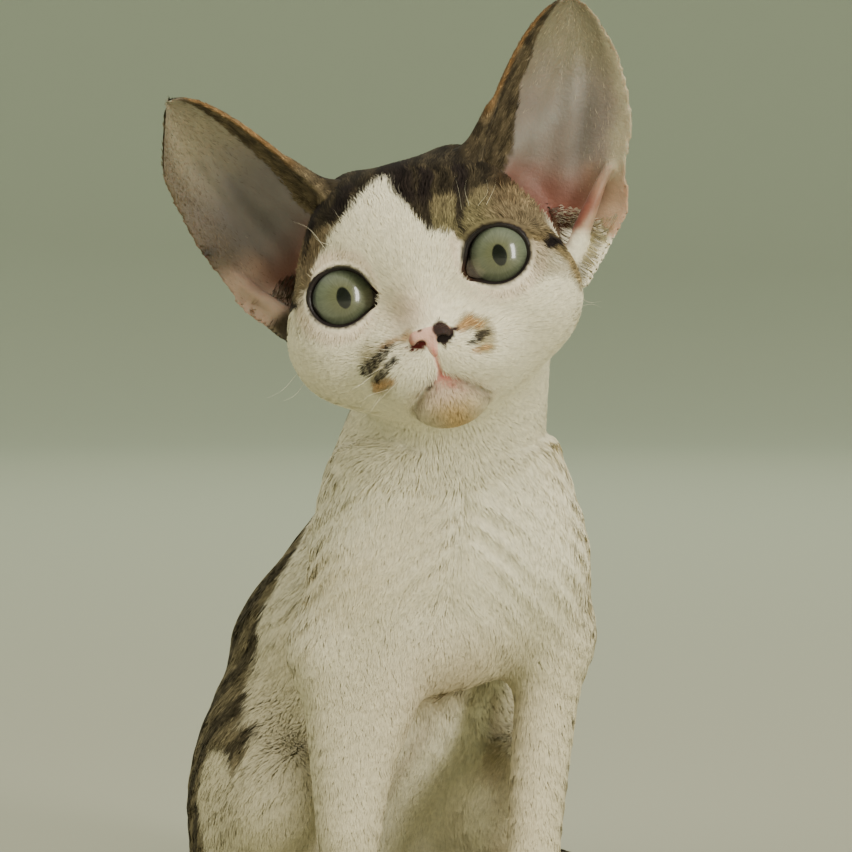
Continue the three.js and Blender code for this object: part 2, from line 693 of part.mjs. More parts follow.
const trunk = solid(surface(animal, [-60, -70, -6], [60, 90, 175], TRUNK_CELL)).intersect(floor);
const neck = trunk.intersect(side(headCut, away(headCutWay))).intersect(side(NECK_CUT, NECK_CUT_WAY));
addNode("neck", neck, "coat");
const belowNeck = side(NECK_CUT, away(NECK_CUT_WAY));
let torso = trunk.intersect(belowNeck);
for (const left of [true, false]) {
  const name = left ? "left" : "right";
  const region = (low, high) =>
    left ? [low, high] : [[-high[0], low[1], low[2]], [-low[0], high[1], high[2]]];
  const foreleg = solid(surface(animal, ...region([6, -58, 4], [46, 8, 118]), FORELEG_CELL));
  const thigh = solid(surface(animal, ...region([8, -26, 4], [48, 72, 76]), THIGH_CELL));
  const forepaw = solid(surface(animal, ...region([4, -58, -4], [34, -18, 16]), PAW_CELL));
  const hindfoot = solid(surface(animal, ...region([18, -32, -4], [48, 52, 16]), FOOT_CELL));
  addNode(
    "foreleg_" + name,
    foreleg.intersect(legBalls(left, 0)).intersect(belowNeck).subtract(forepawBox(left, GAP)),
    "coat",
  );
  addNode(
    "thigh_" + name,
    thigh.intersect(thighBall(left, 0)).subtract(legBalls(left, GAP)).subtract(hindfootBox(left, GAP)),
    "tabby",
  );
  addNode("forepaw_" + name, forepaw.intersect(forepawBox(left, 0)).intersect(floor), "coat");
  addNode(
    "hindfoot_" + name,
    hindfoot.intersect(hindfootBox(left, 0)).subtract(forepawBox(left, GAP)).intersect(floor),
    "coat",
  );
  torso = torso
    .subtract(legBalls(left, GAP))
    .subtract(thighBall(left, GAP))
    .subtract(forepawBox(left, GAP))
    .subtract(hindfootBox(left, GAP));
}

// The tail, whose root inside a ball belongs to the torso, and the rest in three lengths
const tail = solid(surface(tailField(), [-20, -30, -8], [80, 100, 30], TAIL_CELL)).intersect(floor);
const rootBall = (margin) => ballTool(shifted(TAIL_ROOT, 1, -4, 1), [17, 17, 17], margin);
addNode("torso", torso.add(tail.intersect(rootBall(0))), "tabby");
const freeTail = tail.subtract(rootBall(GAP));
const tailCut = (share, forwards) => {
  const way = tailCurve.getTangentAt(share).toArray();
  return side(tailCurve.getPointAt(share).toArray(), forwards ? way : away(way));
};
const [BASE_END, MIDDLE_END] = [0.42, 0.7];
addNode("tail_base", freeTail.intersect(tailCut(BASE_END, false)), "tabby");
addNode(
  "tail_middle",
  freeTail.intersect(tailCut(BASE_END, true)).intersect(tailCut(MIDDLE_END, false)),
  "tabby",
);
addNode("tail_tip", freeTail.intersect(tailCut(MIDDLE_END, true)), "tabby");

// The origin is on the floor, under the middle of the whole
const middle = new THREE.Box3().setFromObject(kitten).getCenter(new THREE.Vector3());
kitten.position.set(-middle.x, -middle.y, 0);

export default kitten;
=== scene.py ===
import math

import bpy
import numpy as np
from mathutils import Euler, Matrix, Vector


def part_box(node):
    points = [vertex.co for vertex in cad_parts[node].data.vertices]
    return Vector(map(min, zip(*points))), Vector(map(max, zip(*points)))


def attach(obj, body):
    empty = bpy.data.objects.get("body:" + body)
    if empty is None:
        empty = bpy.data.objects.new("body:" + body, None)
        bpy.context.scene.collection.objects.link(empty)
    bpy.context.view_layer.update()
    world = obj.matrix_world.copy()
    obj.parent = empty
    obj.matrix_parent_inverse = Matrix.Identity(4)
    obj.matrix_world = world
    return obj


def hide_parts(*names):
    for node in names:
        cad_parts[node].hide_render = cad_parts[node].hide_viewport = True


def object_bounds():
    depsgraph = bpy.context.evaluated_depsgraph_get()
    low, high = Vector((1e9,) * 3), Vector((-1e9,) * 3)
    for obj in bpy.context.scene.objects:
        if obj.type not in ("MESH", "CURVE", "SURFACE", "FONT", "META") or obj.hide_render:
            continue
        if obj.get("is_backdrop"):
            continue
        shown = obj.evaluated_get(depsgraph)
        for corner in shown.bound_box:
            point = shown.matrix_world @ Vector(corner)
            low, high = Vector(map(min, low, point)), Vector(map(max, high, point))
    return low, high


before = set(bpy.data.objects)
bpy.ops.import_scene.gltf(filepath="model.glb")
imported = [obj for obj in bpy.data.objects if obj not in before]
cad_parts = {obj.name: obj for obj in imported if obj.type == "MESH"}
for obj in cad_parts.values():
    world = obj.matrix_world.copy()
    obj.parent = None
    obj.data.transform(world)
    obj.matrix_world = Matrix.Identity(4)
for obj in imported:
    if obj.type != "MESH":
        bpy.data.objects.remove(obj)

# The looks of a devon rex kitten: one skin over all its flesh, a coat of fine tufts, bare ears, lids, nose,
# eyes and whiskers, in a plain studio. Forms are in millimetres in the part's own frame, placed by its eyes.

CAD_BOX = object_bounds()
MM = 0.001

# Driving dimensions of the kitten, as its solids have them
EYE_LEVEL, EYE_SPACING, EYEBALL, LID = 150, 33.6, 8.2, 1.0
EAR_HEIGHT, EAR_WIDTH = 43.5, 35.4
LEAN, LEAN_FROM, LEAN_TO = 3.5, 42, 96
SWAY, SWAY_FROM, SWAY_TO = 3, 15, 60
TAIL_ROOT_RADIUS, TAIL_TIP_RADIUS = 6.6, 3.2

# Landmarks of the body, for the left side where there are two
CHEST = (0, -12, 89)
BELLY = (0, 20, 63)
PELVIS = (0, 41, 33.6)
WITHERS = (0, 5, 108)
LOIN = (0, 48, 66)
NECK_ROOT = (0, -12, 104)
NECK_TOP = (0.5, -24, 134)
SHOULDER = (18, -19, 88)
ELBOW = (25, -19, 70)
WRIST = (19.8, -34, 16)
FOREPAW = (19.2, -38, 5.2)
FLANK = (9.5, 37.5, 64)
HIP = (26, 27, 31)
KNEE = (26, 0, 32)
HEEL = (29, 38, 6)
HIND_TOES = (31, -10, 5.4)
HINDPAW = (31.5, -16, 5)
TAIL_ROOT = (0, 66, 9)
BRISKET = (0, -20, 72)
FOLD = ((-12, -24, 72), (-17, -27, 52), (-20.5, -31, 34))

# Landmarks of the head in its own frame: x to the cat's left, -y out of the face, z to the crown
EYE = (EYE_SPACING / 2, 0, 0)
NOSE_TIP = (0, -15.2, -13.6)
CHIN = (0, -8.2, -27)
EAR_ROOT = (25, 12, 9.5)
HEAD_PLACE = np.array((-11.6, -44, EYE_LEVEL))
HEAD_YAW, HEAD_NOD, HEAD_TILT = math.radians(-25), math.radians(3), math.radians(-15.5)

# Sizes of the meshes' cells
SKIN_CELL, NOSE_CELL, COMB_CELL = 0.65, 0.3, 1.25

rng = np.random.default_rng(7)


def middle_of(node):
    low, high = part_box(node)
    return (np.array(low) + np.array(high)) / 2 / MM


SHIFT = (middle_of("eye_left") + middle_of("eye_right")) / 2 - HEAD_PLACE


def turned(angle, axis):
    return np.array(Euler([angle if axis == n else 0 for n in "xyz"]).to_matrix())


HEAD_TURN = turned(HEAD_YAW, "z") @ turned(-HEAD_NOD, "x") @ turned(HEAD_TILT, "y")


def to_head(points):
    return (points - HEAD_PLACE) @ HEAD_TURN


def from_head(points):
    return np.asarray(points) @ HEAD_TURN.T + HEAD_PLACE


# Numbers and vectors
CORNERS = np.array([(n & 1, n >> 1 & 1, n >> 2) for n in range(8)])


def smooth(value, low, high):
    share = np.clip((value - low) / (high - low), 0, 1)
    return share * share * (3 - 2 * share)


def bump(value, width):
    """1 where a value is 0, and less where it is as far off as a width."""
    return np.exp(-((value / width) ** 2))


def mix(a, b, share):
    return a + (b - a) * share


def lengths(vectors):
    return np.sqrt(np.einsum("...i,...i->...", vectors, vectors))


def unit(vectors):
    return vectors / np.maximum(lengths(vectors), 1e-9)[..., None]


def flat_on(ways, normals):
    return unit(ways - normals * np.einsum("ij,ij->i", ways, normals)[:, None])


def shifted(point, dx, dy, dz):
    return (point[0] + dx, point[1] + dy, point[2] + dz)


def between(a, b, share):
    return tuple(p + (q - p) * share for p, q in zip(a, b))


def lattice(*counts):
    """The whole numbers of a grid, one row for each of its points."""
    return np.stack(np.meshgrid(*[np.arange(n) for n in counts], indexing="ij"), -1).reshape(-1, len(counts))


def noise(points, size, seed):
    """Smooth noise from -1 to 1 whose lumps are of that size."""
    spots = points / size + seed * 7.31
    cell = np.floor(spots)
    part = spots - cell
    part = part * part * (3 - 2 * part)
    total = np.zeros(len(points))
    for bits in CORNERS:
        x, y, z = (cell.astype(np.int64) + bits).T
        code = x * 73856093 ^ y * 19349663 ^ z * 83492791 ^ seed * 2654435761
        code = (code ^ code >> 13) * 1274126177 & 0x7FFFFFFF
        code = (code ^ code >> 15) & 0xFFFF
        total += np.prod(np.where(bits, part, 1 - part), axis=1) * (code / 32767.5 - 1)
    return total


def spline(points, count):
    """A smooth curve through points, as that many points spread evenly along it."""
    points = np.asarray(points, float)
    ends = np.vstack([2 * points[0] - points[1], points, 2 * points[-1] - points[-2]])
    fine = []
    for n in range(len(points) - 1):
        a, b, c, d = ends[n : n + 4]
        for t in np.linspace(0, 1, 40, endpoint=n == len(points) - 2):
            squared, cubed = (2 * a - 5 * b + 4 * c - d) * t**2, (3 * b - a - 3 * c + d) * t**3
            fine.append(0.5 * (2 * b + (c - a) * t + squared + cubed))
    fine = np.array(fine)
    along = np.concatenate([[0], np.cumsum(lengths(np.diff(fine, axis=0)))])
    wanted = np.linspace(0, along[-1], count)
    return np.stack([np.interp(wanted, along, fine[:, k]) for k in range(3)], axis=1)


# Distance fields: functions of a (3, n) array of points, negative inside a form


def column(values):
    return np.array(values, np.float32).reshape(3, 1)


def norm(p):
    return np.sqrt(np.einsum("ij,ij->j", p, p))


def pressed(d, e, width):
    """The larger of two distances, rounded where they are alike."""
    share = np.maximum(width - np.abs(d - e), 0) / width
    return np.maximum(d, e) + share * share * width / 4


def melted(d, e, width):
    return -pressed(-d, -e, width)


def ball(center, radii, turns=(0, 0, 0)):
    turn = np.array(Euler([math.radians(t) for t in turns], "ZYX").to_matrix(), np.float32)
    center, radii = column(center), column(radii)

    def field(p):
        q = (turn.T @ (p - center)) / radii
        near = norm(q)
        return near * (near - 1) / np.maximum(norm(q / radii), 1e-6)

    return field


def rod(start, end, start_radius, end_radius):
    start = column(start)
    way = column(end) - start

    def field(p):
        q = p - start
        along = np.clip((way.T @ q)[0] / float((way * way).sum()), 0, 1)
        return norm(q - way * along) - (start_radius + (end_radius - start_radius) * along)

    return field


def melt(width, *fields):
    def field(p):
        d = fields[0](p)
        for other in fields[1:]:
            d = melted(d, other(p), width)
        return d

    return field


def press(width, field, hollow):
    return lambda p: pressed(field(p), -hollow(p), width)


def both(field):
    return lambda p: field(np.stack([np.abs(p[0]), p[1], p[2]]))


def in_head(p):
    return HEAD_TURN.T.astype(np.float32) @ (p - column(HEAD_PLACE))


def near(center, reach, field, beyond=14):
    """The field within a reach of a point, and past it a plain distance, which is quicker."""
    center = column(center)

    def culled(p):
        out = norm(p - center) - reach
        d = out + beyond
        close = out < 0
        if close.any():
            d[close] = field(p[:, close])
        return d

    return culled


# The body's forms
middle = melt(
    14,
    ball(CHEST, (25, 25.5, 28), (12, 0, 0)),
    ball(BELLY, (28.5, 28, 34), (-24, 0, 0)),
    ball(PELVIS, (28.5, 31, 35), (-12, 0, 0)),
    rod(WITHERS, LOIN, 13, 15.2),
    ball(FLANK, (18.5, 22, 15)),
)
trunk = melt(8, middle, rod(between(PELVIS, TAIL_ROOT, 0.5), shifted(TAIL_ROOT, 4, 3, -1), 12, 6.8))
foreleg = melt(
    7,
    ball(SHOULDER, (11.5, 15.5, 25), (12, -4, 0)),
    rod(shifted(SHOULDER, 1, -2, 0), ELBOW, 10.5, 8.8),
    rod(ELBOW, WRIST, 7.9, 5.5),
    rod(WRIST, shifted(FOREPAW, 0, 1, 1.5), 5.6, 5.8),
)
hindleg = melt(
    9,
    ball(HIP, (13.5, 28, 28), (-14, 0, 6)),
    ball(KNEE, (9, 11, 13)),
    rod(KNEE, HEEL, 9, 6.4),
    rod(HEEL, HIND_TOES, 6.5, 5.8),
)
TOES = ((-5.6, -3.2), (-2.0, -6.4), (2.0, -6.4), (5.6, -3.2))


def paw(center, size):
    toes = []
    for across, out in TOES:
        knuckle = shifted(center, across * 0.8 * size, (out + 7) * size, 0.6)
        toes.append(rod(knuckle, shifted(center, across * size, out * size, -1.4), 3.1 * size, 2.9 * size))
    return melt(1.2, ball(shifted(center, 0, 3.5 * size, 0), (7.2 * size, 7.5 * size, 6 * size)), *toes)


legs = melt(3, near((22, -28, 52), 62, foreleg), near((28, 16, 26), 54, hindleg))
paws = melt(3, near(FOREPAW, 26, paw(FOREPAW, 1)), near(HINDPAW, 26, paw(HINDPAW, 0.98)))
fold = melt(0.01, rod(FOLD[0], FOLD[1], 9, 7.6), rod(FOLD[1], FOLD[2], 7.6, 4.6))
necked = melt(12, both(melt(9, melt(3.5, legs, paws), trunk)), rod(NECK_ROOT, NECK_TOP, 22.5, 19.5))
upright = melt(8, melt(7, necked, fold), ball(BRISKET, (14, 12, 12)))


def body(p):
    q = p.copy()
    q[0] -= LEAN * smooth(q[2], LEAN_FROM, LEAN_TO) - SWAY * (1 - smooth(q[2], SWAY_FROM, SWAY_TO))
    return upright(q)


skull = melt(
    9,
    ball((0, 14, 4), (25.5, 24, 19.4)),
    ball((0, 3.5, 9), (19.5, 13, 13.8)),
    both(ball((17.5, 6, -8.5), (14, 15, 14.5), (0, 0, 12))),
    ball((0, 5, -19), (17, 15, 11.5)),
    both(ball(shifted(EAR_ROOT, -13.5, 3, 2.5), (8, 10, 13))),
    both(ball(shifted(EAR_ROOT, -8, 10, -4.5), (11, 9, 12), (0, 20, 0))),
)
muzzle_form = melt(
    3.2,
    ball((0, -4.5, -17.5), (14, 10.5, 9.5)),
    both(ball((6.4, -10.6, -18.6), (7.4, 5.8, 6), (0, 0, 16))),
    rod((0, -3.6, 3), (0, -11.6, -10.4), 5.6, 3.6),
    ball(shifted(NOSE_TIP, 0, 2.4, 0.6), (4.6, 3.4, 3.6)),
    ball(CHIN, (7.4, 6, 5)),
)
face = melt(3, melt(7, skull, muzzle_form), both(ball(shifted(EYE, 0, 0.2, 0), [EYEBALL + LID] * 3)))

TAIL_STEPS = 32
TAIL_WAY = ((0, 58, 14), (9, 76, 6.6), (30, 81, 5.2), (50, 69, 4.7), (58, 43, 4.2))
TAIL_WAY += ((57, 14, 3.6), (50, -8, 2.9))
TAIL = spline(TAIL_WAY, TAIL_STEPS + 1)
radius = np.linspace(TAIL_ROOT_RADIUS, TAIL_TIP_RADIUS, TAIL_STEPS + 1)
bones = []
for n in range(TAIL_STEPS):
    bone = rod(TAIL[n], TAIL[n + 1], radius[n], radius[n + 1])
    bones.append(near((TAIL[n] + TAIL[n + 1]) / 2, 26, bone))
tail = near((28, 40, 6), 66, melt(1.5, *bones))
flesh = melt(9, body, near(from_head((0, 8, -4)), 62, lambda p: face(in_head(p)), 20))
animal = melt(1.5, flesh, tail)

# The ears, in their own frame: s across from the inner rim to the outer, t up to the tip, w out of the cup
EAR_TURN = math.radians(30)
EAR_WAY = unit(np.array((0.43, 0.06, 0.9)))
EAR_ACROSS = unit(np.cross(EAR_WAY, (math.sin(EAR_TURN), -math.cos(EAR_TURN), 0)))
EAR_BASIS = np.array([EAR_ACROSS, EAR_WAY, np.cross(EAR_ACROSS, EAR_WAY)])
EAR_SUNK = 15
EAR_SHEET = 1.35  # through the middle of the bare sheet
LEFT_EAR_OUT = 1.2
RIGHT_EAR_LONG = 1.05
CANAL_FLOOR = -9  # how low the hollow of the cup reaches into the head


def ear_shape(t):
    """Half the cup's width, its middle and its depth at heights along the ear."""
    up = np.clip(t / EAR_HEIGHT, 0, 1)
    funnel = np.clip((4 - t) / (EAR_SUNK + 4), 0, 1.2)
    half = EAR_WIDTH / 2 * np.maximum(1 - up**2.3, 1e-5) ** 0.6 * (1 - 0.1 * funnel**1.3)
    middle = -0.4 + 3 * np.sin(math.pi * (t + 6) / 52) - 0.5 * funnel
    depth = 13.5 * np.maximum(0, 1 - np.maximum(0, t + 4) / (EAR_HEIGHT + 6)) ** 0.8 + 0.6
    return half, middle, depth


def ear_sheet(s, t):
    """The height of the cup's sheet, with two low folds that run up its inside."""
    half, middle, depth = ear_shape(t)
    share = (s - middle) / half
    folds = 1.1 * bump(share - 0.42 + t * 0.006, 0.13) + 0.7 * bump(share + 0.3 - t * 0.004, 0.16)
    curl = np.maximum(0, 1 - np.abs(share) ** 2.2) ** 0.85
    return -depth * curl + folds * (smooth(t, 0, 8) * (1 - smooth(t, 24, 38)))


def folded(p):
    """Points of the head's frame laid on its left side, where the left ear stands a little further out."""
    outwards = LEFT_EAR_OUT * (p[0] > 0) * smooth(p[2], 8, 20)
    return np.stack([np.abs(p[0]) - outwards, p[1], p[2]]).astype(p.dtype)


def ear_measures(p, left):
    """For folded points: height over the cup's sheet, share across it, distance outside its rim, height
    along the ear, and w. The left ear is fuller low on its outer side, the right one slimmer and longer."""
    STEP = 0.2
    s, t, w = EAR_BASIS.astype(p.dtype) @ (p - column(EAR_ROOT).astype(p.dtype))
    wider = np.where(left, 0.2 * (1 - smooth(t, 2, 14)), -0.09 * smooth(t, 2, 10) * (1 - smooth(t, 26, 40)))
    s = np.where(s > 0, s / (1 + wider), s).astype(p.dtype)
    t = np.where(left | (t < 0), t, t / RIGHT_EAR_LONG).astype(p.dtype)
    low = ear_sheet(s, t)
    steep = np.hypot((ear_sheet(s + STEP, t) - low) / STEP, (ear_sheet(s, t + STEP) - low) / STEP)
    half, middle, _ = ear_shape(t)
    rim = np.abs(s - middle) - half
    past = np.where(t > EAR_HEIGHT, np.hypot(np.maximum(rim, 0), t - EAR_HEIGHT), rim)
    slope = (ear_shape(t + STEP)[0] - half) / STEP
    over = (w - low) / np.sqrt(1 + np.minimum(steep, 3) ** 2)
    return over, (s - middle) / half, past / np.sqrt(1 + slope**2), t, w


def ear_field(p, left):
    over, share, past, t, _ = ear_measures(p, left)
    thick = EAR_SHEET * (0.85 + 0.15 * np.cos(np.clip(share, -1, 1) * math.radians(80)) ** 0.5)
    return pressed(pressed(np.abs(over) - thick / 2, past, 0.5), -EAR_SUNK - t, 0.5)


def cup_hollow(p, left):
    """The space in an ear's cup, down to its floor in the head, where the canal leads on."""
    over, _, past, t, w = ear_measures(p, left)
    cup = pressed(pressed(EAR_SHEET / 2 - over, w + 1.5, 3), past + 0.8, 2)
    return pressed(cup, CANAL_FLOOR - t, 4)


def in_ear(s, t, w):
    return EAR_ROOT + (s, t, w) @ EAR_BASIS


CANAL = rod(in_ear(-1.5, -8, -7), in_ear(-4, -17, -11), 4.2, 2.5)
CUP_FLOOR = ball(in_ear(8.5, -3, -8), (7, 7, 5))
KNOBS = melt(
    1.5,
    ball(in_ear(-13.2, -2.5, -2.2), (2.1, 2.1, 2.1)),
    ball(in_ear(-10.6, -5.2, -1.6), (2.3, 2.0, 2.0)),
    ball(in_ear(-7.2, -7.2, -1.2), (2.6, 1.9, 2.0)),
)
POUCH_FLAP = rod(in_ear(13.2, -9, -4.2), in_ear(16.4, 10.5, -2), 2.4, 1.0)
POUCH_SLIT = rod(in_ear(12.9, 3.5, -2.6), in_ear(15.2, 9, -0.2), 1.0, 0.7)
# A web of skin from the crown up the ear's inner edge
WEB = rod(in_ear(-17, -5, -4.5), in_ear(-13.6, 17, -1.2), 4.4, 0.5)

# Details of the face
MOUTH_TOP = shifted(NOSE_TIP, 0, 1.2, -3.2)
MOUTH_FORK = (0, -15.4, -21.2)
MOUTH_SIDE = ((0, -15.2, -21.1), (2.4, -14.8, -22.2), (5, -13.2, -24.0), (7, -10.8, -25.9))
MOUTH_SIDE += ((8.6, -7.2, -27.4),)
LID_WIDE, LID_HIGH, LID_CORNER = 6.8, 6.15, 1.9
LID_CORNER_ANGLE = math.radians(199)
NOSE_SOLID = melt(
    1.1,
    both(ball(shifted(NOSE_TIP, 1.9, 0.9, 0.7), (2.7, 2.3, 2.1))),
    ball(shifted(NOSE_TIP, 0, 1.0, 1.3), (2.2, 2.2, 1.9)),
    ball(shifted(NOSE_TIP, 0, 0.9, -1.4), (1.6, 2.0, 2.4)),
)


def lid_reach(angle):
    """How far the lids' opening is drawn out at an angle round the eye, as a share of its radius."""
    return 1 + LID_CORNER / LID_WIDE * np.maximum(0, np.cos(angle - LID_CORNER_ANGLE)) ** 16


def lid_hollow(p):
    x, y, z = p[0] - EYE[0], p[1], p[2]
    reach = np.hypot(x / LID_WIDE, z / LID_HIGH)
    out = lid_reach(np.arctan2(z / LID_HIGH, x / LID_WIDE))
    return np.maximum((reach / out - 1) * LID_HIGH * 0.95, y + 2.5)


def slope_of(field, points, step=0.1):
    """The field's gradient at (n, 3) points."""
    moved = [np.asarray(points, np.float32).T.copy() for _ in range(6)]
    for n in range(3):
        moved[2 * n][n] += step
        moved[2 * n + 1][n] -= step
    values = field(np.concatenate(moved, axis=1)).reshape(6, -1)
    return np.stack([(values[2 * n] - values[2 * n + 1]) / (2 * step) for n in range(3)], axis=1)


def drawn_to(field, points, level=0.0, rounds=2, reach=2.0):
    """Points moved along a field's slope to where it has that level."""
    points = np.array(points, float)
    for _ in range(rounds):
        slope = slope_of(field, points)
        steep = np.maximum((slope**2).sum(1), 0.2)
        d = np.clip(field(points.T.astype(np.float32)) - level, -reach, reach)
        points = points - slope * (d / steep)[:, None]
    return points


# The coat's depth over the skin, in millimetres
FACE_DEPTH, CROWN_DEPTH, PAW_DEPTH, BODY_DEPTH, TAIL_DEPTH = 0.4, 0.8, 0.5, 0.85, 0.9
HEAD_MIDDLE = from_head((0, 10, -2))


def head_share(points):
    """1 on the head and its ears and 0 on the body, for points of either shape."""
    close = 1 - smooth(lengths(points - HEAD_MIDDLE), 36, 48)
    return np.maximum(close, smooth(to_head(points)[:, 2], 2, 8))


def coat_depth(points):
    on_head = mix(FACE_DEPTH, CROWN_DEPTH, smooth(to_head(points)[:, 1], -8, 10))
    return mix(mix(PAW_DEPTH, BODY_DEPTH, smooth(points[:, 2], 6, 50)), on_head, head_share(points))


def on_face(points):
    return drawn_to(face, points, level=-FACE_DEPTH, rounds=3)


def line_field(points, radius):
    return melt(0.3, *[rod(a, b, radius, radius) for a, b in zip(points[:-1], points[1:])])


MOUTH_WAYS = (([MOUTH_TOP, MOUTH_FORK], 4), (MOUTH_SIDE, 9))
MOUTH_LINES = [line_field(on_face(spline(*way)), 0.45) for way in MOUTH_WAYS]


def skin_field(p):
    d = melted(flesh(p) + coat_depth(p.T).astype(np.float32), tail(p) + TAIL_DEPTH, 1.5)
    local = in_head(p)
    side = folded(local)
    close = np.flatnonzero(lengths(side.T - (22, 8, 8)) < 62)
    if len(close):
        q, left = side[:, close], local[0, close] > 0
        e = pressed(d[close], -lid_hollow(q), 0.4)
        for line in MOUTH_LINES:
            e = pressed(e, -line(q), 0.5)
        e = pressed(melted(e, WEB(q), 4.0), -cup_hollow(q, left), 2.0)
        e = pressed(melted(e, KNOBS(q), 2.0), -CANAL(q), 2.5)
        ear = pressed(melted(ear_field(q, left), POUCH_FLAP(q), 2.2), -POUCH_SLIT(q), 0.8)
        d[close] = melted(e, ear, 2.4)
    return np.maximum(d, 0.05 - p[2])


# Meshing


def surface(field, low, high, cell):
    """The zero surface of a field in a box, as points and quads, sought only in blocks that it may cross."""
    BLOCK = 8
    CHUNK = 400
    low = np.array(low, float)
    blocks = np.ceil((np.array(high) - low) / cell / BLOCK).astype(int)
    corner = lattice(*blocks)
    coarse = field((low + (corner + 0.5) * BLOCK * cell).T.astype(np.float32))
    shape = blocks * BLOCK
    values = np.repeat(np.repeat(np.repeat(coarse.reshape(blocks), BLOCK, 0), BLOCK, 1), BLOCK, 2)
    values = np.ascontiguousarray(values, np.float32)
    close = corner[np.abs(coarse) < BLOCK * cell * 1.15 + cell]
    for start in range(0, len(close), CHUNK):
        at = (close[start : start + CHUNK, None] * BLOCK + lattice(BLOCK, BLOCK, BLOCK)).reshape(-1, 3)
        values[tuple(at.T)] = field((low + at * cell).T.astype(np.float32))
    inside = values < 0
    count = np.zeros(shape - 1, np.int8)
    for a, b, c in CORNERS:
        count += inside[a : a + shape[0] - 1, b : b + shape[1] - 1, c : c + shape[2] - 1]
    cells = np.argwhere((count > 0) & (count < 8))
    total = np.zeros((len(cells), 3))
    crossings = np.zeros(len(cells))
    whole = np.eye(3, dtype=int)
    for axis in range(3):
        first, second = (whole[n] for n in range(3) if n != axis)
        for b, c in lattice(2, 2):
            offset = first * b + second * c
            start = cells + offset
            va, vb = values[tuple(start.T)], values[tuple((start + whole[axis]).T)]
            crossed = (va < 0) != (vb < 0)
            share = np.where(crossed, va / np.where(crossed, va - vb, 1), 0)
            total += np.where(crossed[:, None], offset + whole[axis] * share[:, None], 0)
            crossings += crossed
    points = low + (cells + total / crossings[:, None]) * cell
    index = np.full(shape, -1, np.int32)
    index[tuple(cells.T)] = np.arange(len(cells))
    quads = []
    for axis in range(3):
        step, u, v = whole[axis], whole[(axis + 1) % 3], whole[(axis + 2) % 3]
        here = inside[tuple(slice(1, n - 1) for n in shape)]
        there = inside[tuple(slice(1 + s, n - 1 + s) for s, n in zip(step, shape))]
        edge = np.argwhere(here != there) + 1
        ring = np.stack([index[tuple((edge - o).T)] for o in (0 * u, u, u + v, v)], axis=1)
        flip = ~inside[tuple(edge.T)]
        ring[flip] = ring[flip][:, ::-1]
        quads.append(ring)
    return points, np.concatenate(quads)


def eased(points, quads):
    """Points moved half way to the middle of their neighbours."""
    ends = np.concatenate([quads[:, [n, (n + 1) % 4]] for n in range(4)])
    count = np.bincount(ends[:, 0], minlength=len(points)).astype(float)
    total = [np.bincount(ends[:, 0], weights=points[ends[:, 1], k], minlength=len(points)) for k in range(3)]
    return (points + np.stack(total, axis=1) / np.maximum(count, 1)[:, None]) / 2


def evened(points, quads, field, rounds):
    """Points eased and drawn back on to the field's surface."""
    for _ in range(rounds):
        points = drawn_to(field, eased(points, quads), rounds=1, reach=0.5)
    return points


def normals_of(points, quads):
    across = np.cross(points[quads[:, 2]] - points[quads[:, 0]], points[quads[:, 3]] - points[quads[:, 1]])
    total = []
    for k in range(3):
        shares = [np.bincount(quads[:, n], weights=across[:, k], minlength=len(points)) for n in range(4)]
        total.append(sum(shares))
    return unit(np.stack(total, axis=1))


class Volume:
    def __init__(self, field, low, high, cell):
        self.low, self.cell = np.array(low, float), cell
        self.shape = np.ceil((np.array(high) - self.low) / cell).astype(int)
        axes = [self.low[k] + np.arange(self.shape[k]) * cell for k in range(3)]
        self.values = np.empty(self.shape, np.float32)
        y, z = np.meshgrid(axes[1], axes[2], indexing="ij")
        for i, x in enumerate(axes[0]):
            p = np.stack([np.full(y.size, x), y.ravel(), z.ravel()]).astype(np.float32)
            self.values[i] = field(p).reshape(self.shape[1:])

    def __call__(self, points):
        spots = np.clip((points - self.low) / self.cell, 0, self.shape - 1.001)
        at = spots.astype(int)
        part = spots - at
        total = np.zeros(len(points))
        for bits in CORNERS:
            total += np.prod(np.where(bits, part, 1 - part), axis=1) * self.values[tuple((at + bits).T)]
        return total

    def slope(self, points):
        step = self.cell / 2
        sides = [self(points + step * axis) - self(points - step * axis) for axis in np.eye(3)]
        return np.stack([side / (2 * step) for side in sides], axis=1)


def grid_faces(rings, sides, closed=False):
    """Quads between rings of points, with the last ring joined to the first where it is closed."""
    n, k = lattice(rings if closed else rings - 1, sides).T
    after, beside = (n + 1) % rings, (k + 1) % sides
    return np.stack([n * sides + k, after * sides + k, after * sides + beside, n * sides + beside], 1)


# Markings, with some painted highlight and shade, as colours of light reflected, from points of the part's
# frame


def srgb(*colours):
    values = np.array(colours) / 255
    return np.where(values < 0.04045, values / 12.92, ((values + 0.055) / 1.055) ** 2.4)


# The second white is both a random warm tone and painted shade towards the floor; the third is painted shade
# for the lower body and legs.
WHITE, WARM_WHITE, SHADED_LOW_WHITE = srgb((238, 230, 200), (224, 210, 174), (204, 194, 160))
DARK, DARK_BACK, CROWN_DARK = srgb((44, 38, 28), (64, 57, 43), (34, 29, 21))
BROWN, BROWN_BACK, BROW = srgb((112, 98, 73), (118, 107, 80), (108, 99, 69))
TAN, OLIVE, ORANGE, BUFF = srgb((156, 140, 98), (120, 102, 66), (166, 122, 70), (176, 144, 90))
BLACK, BLOB, EYE_RIM = srgb((30, 24, 22), (50, 34, 30), (34, 26, 24))
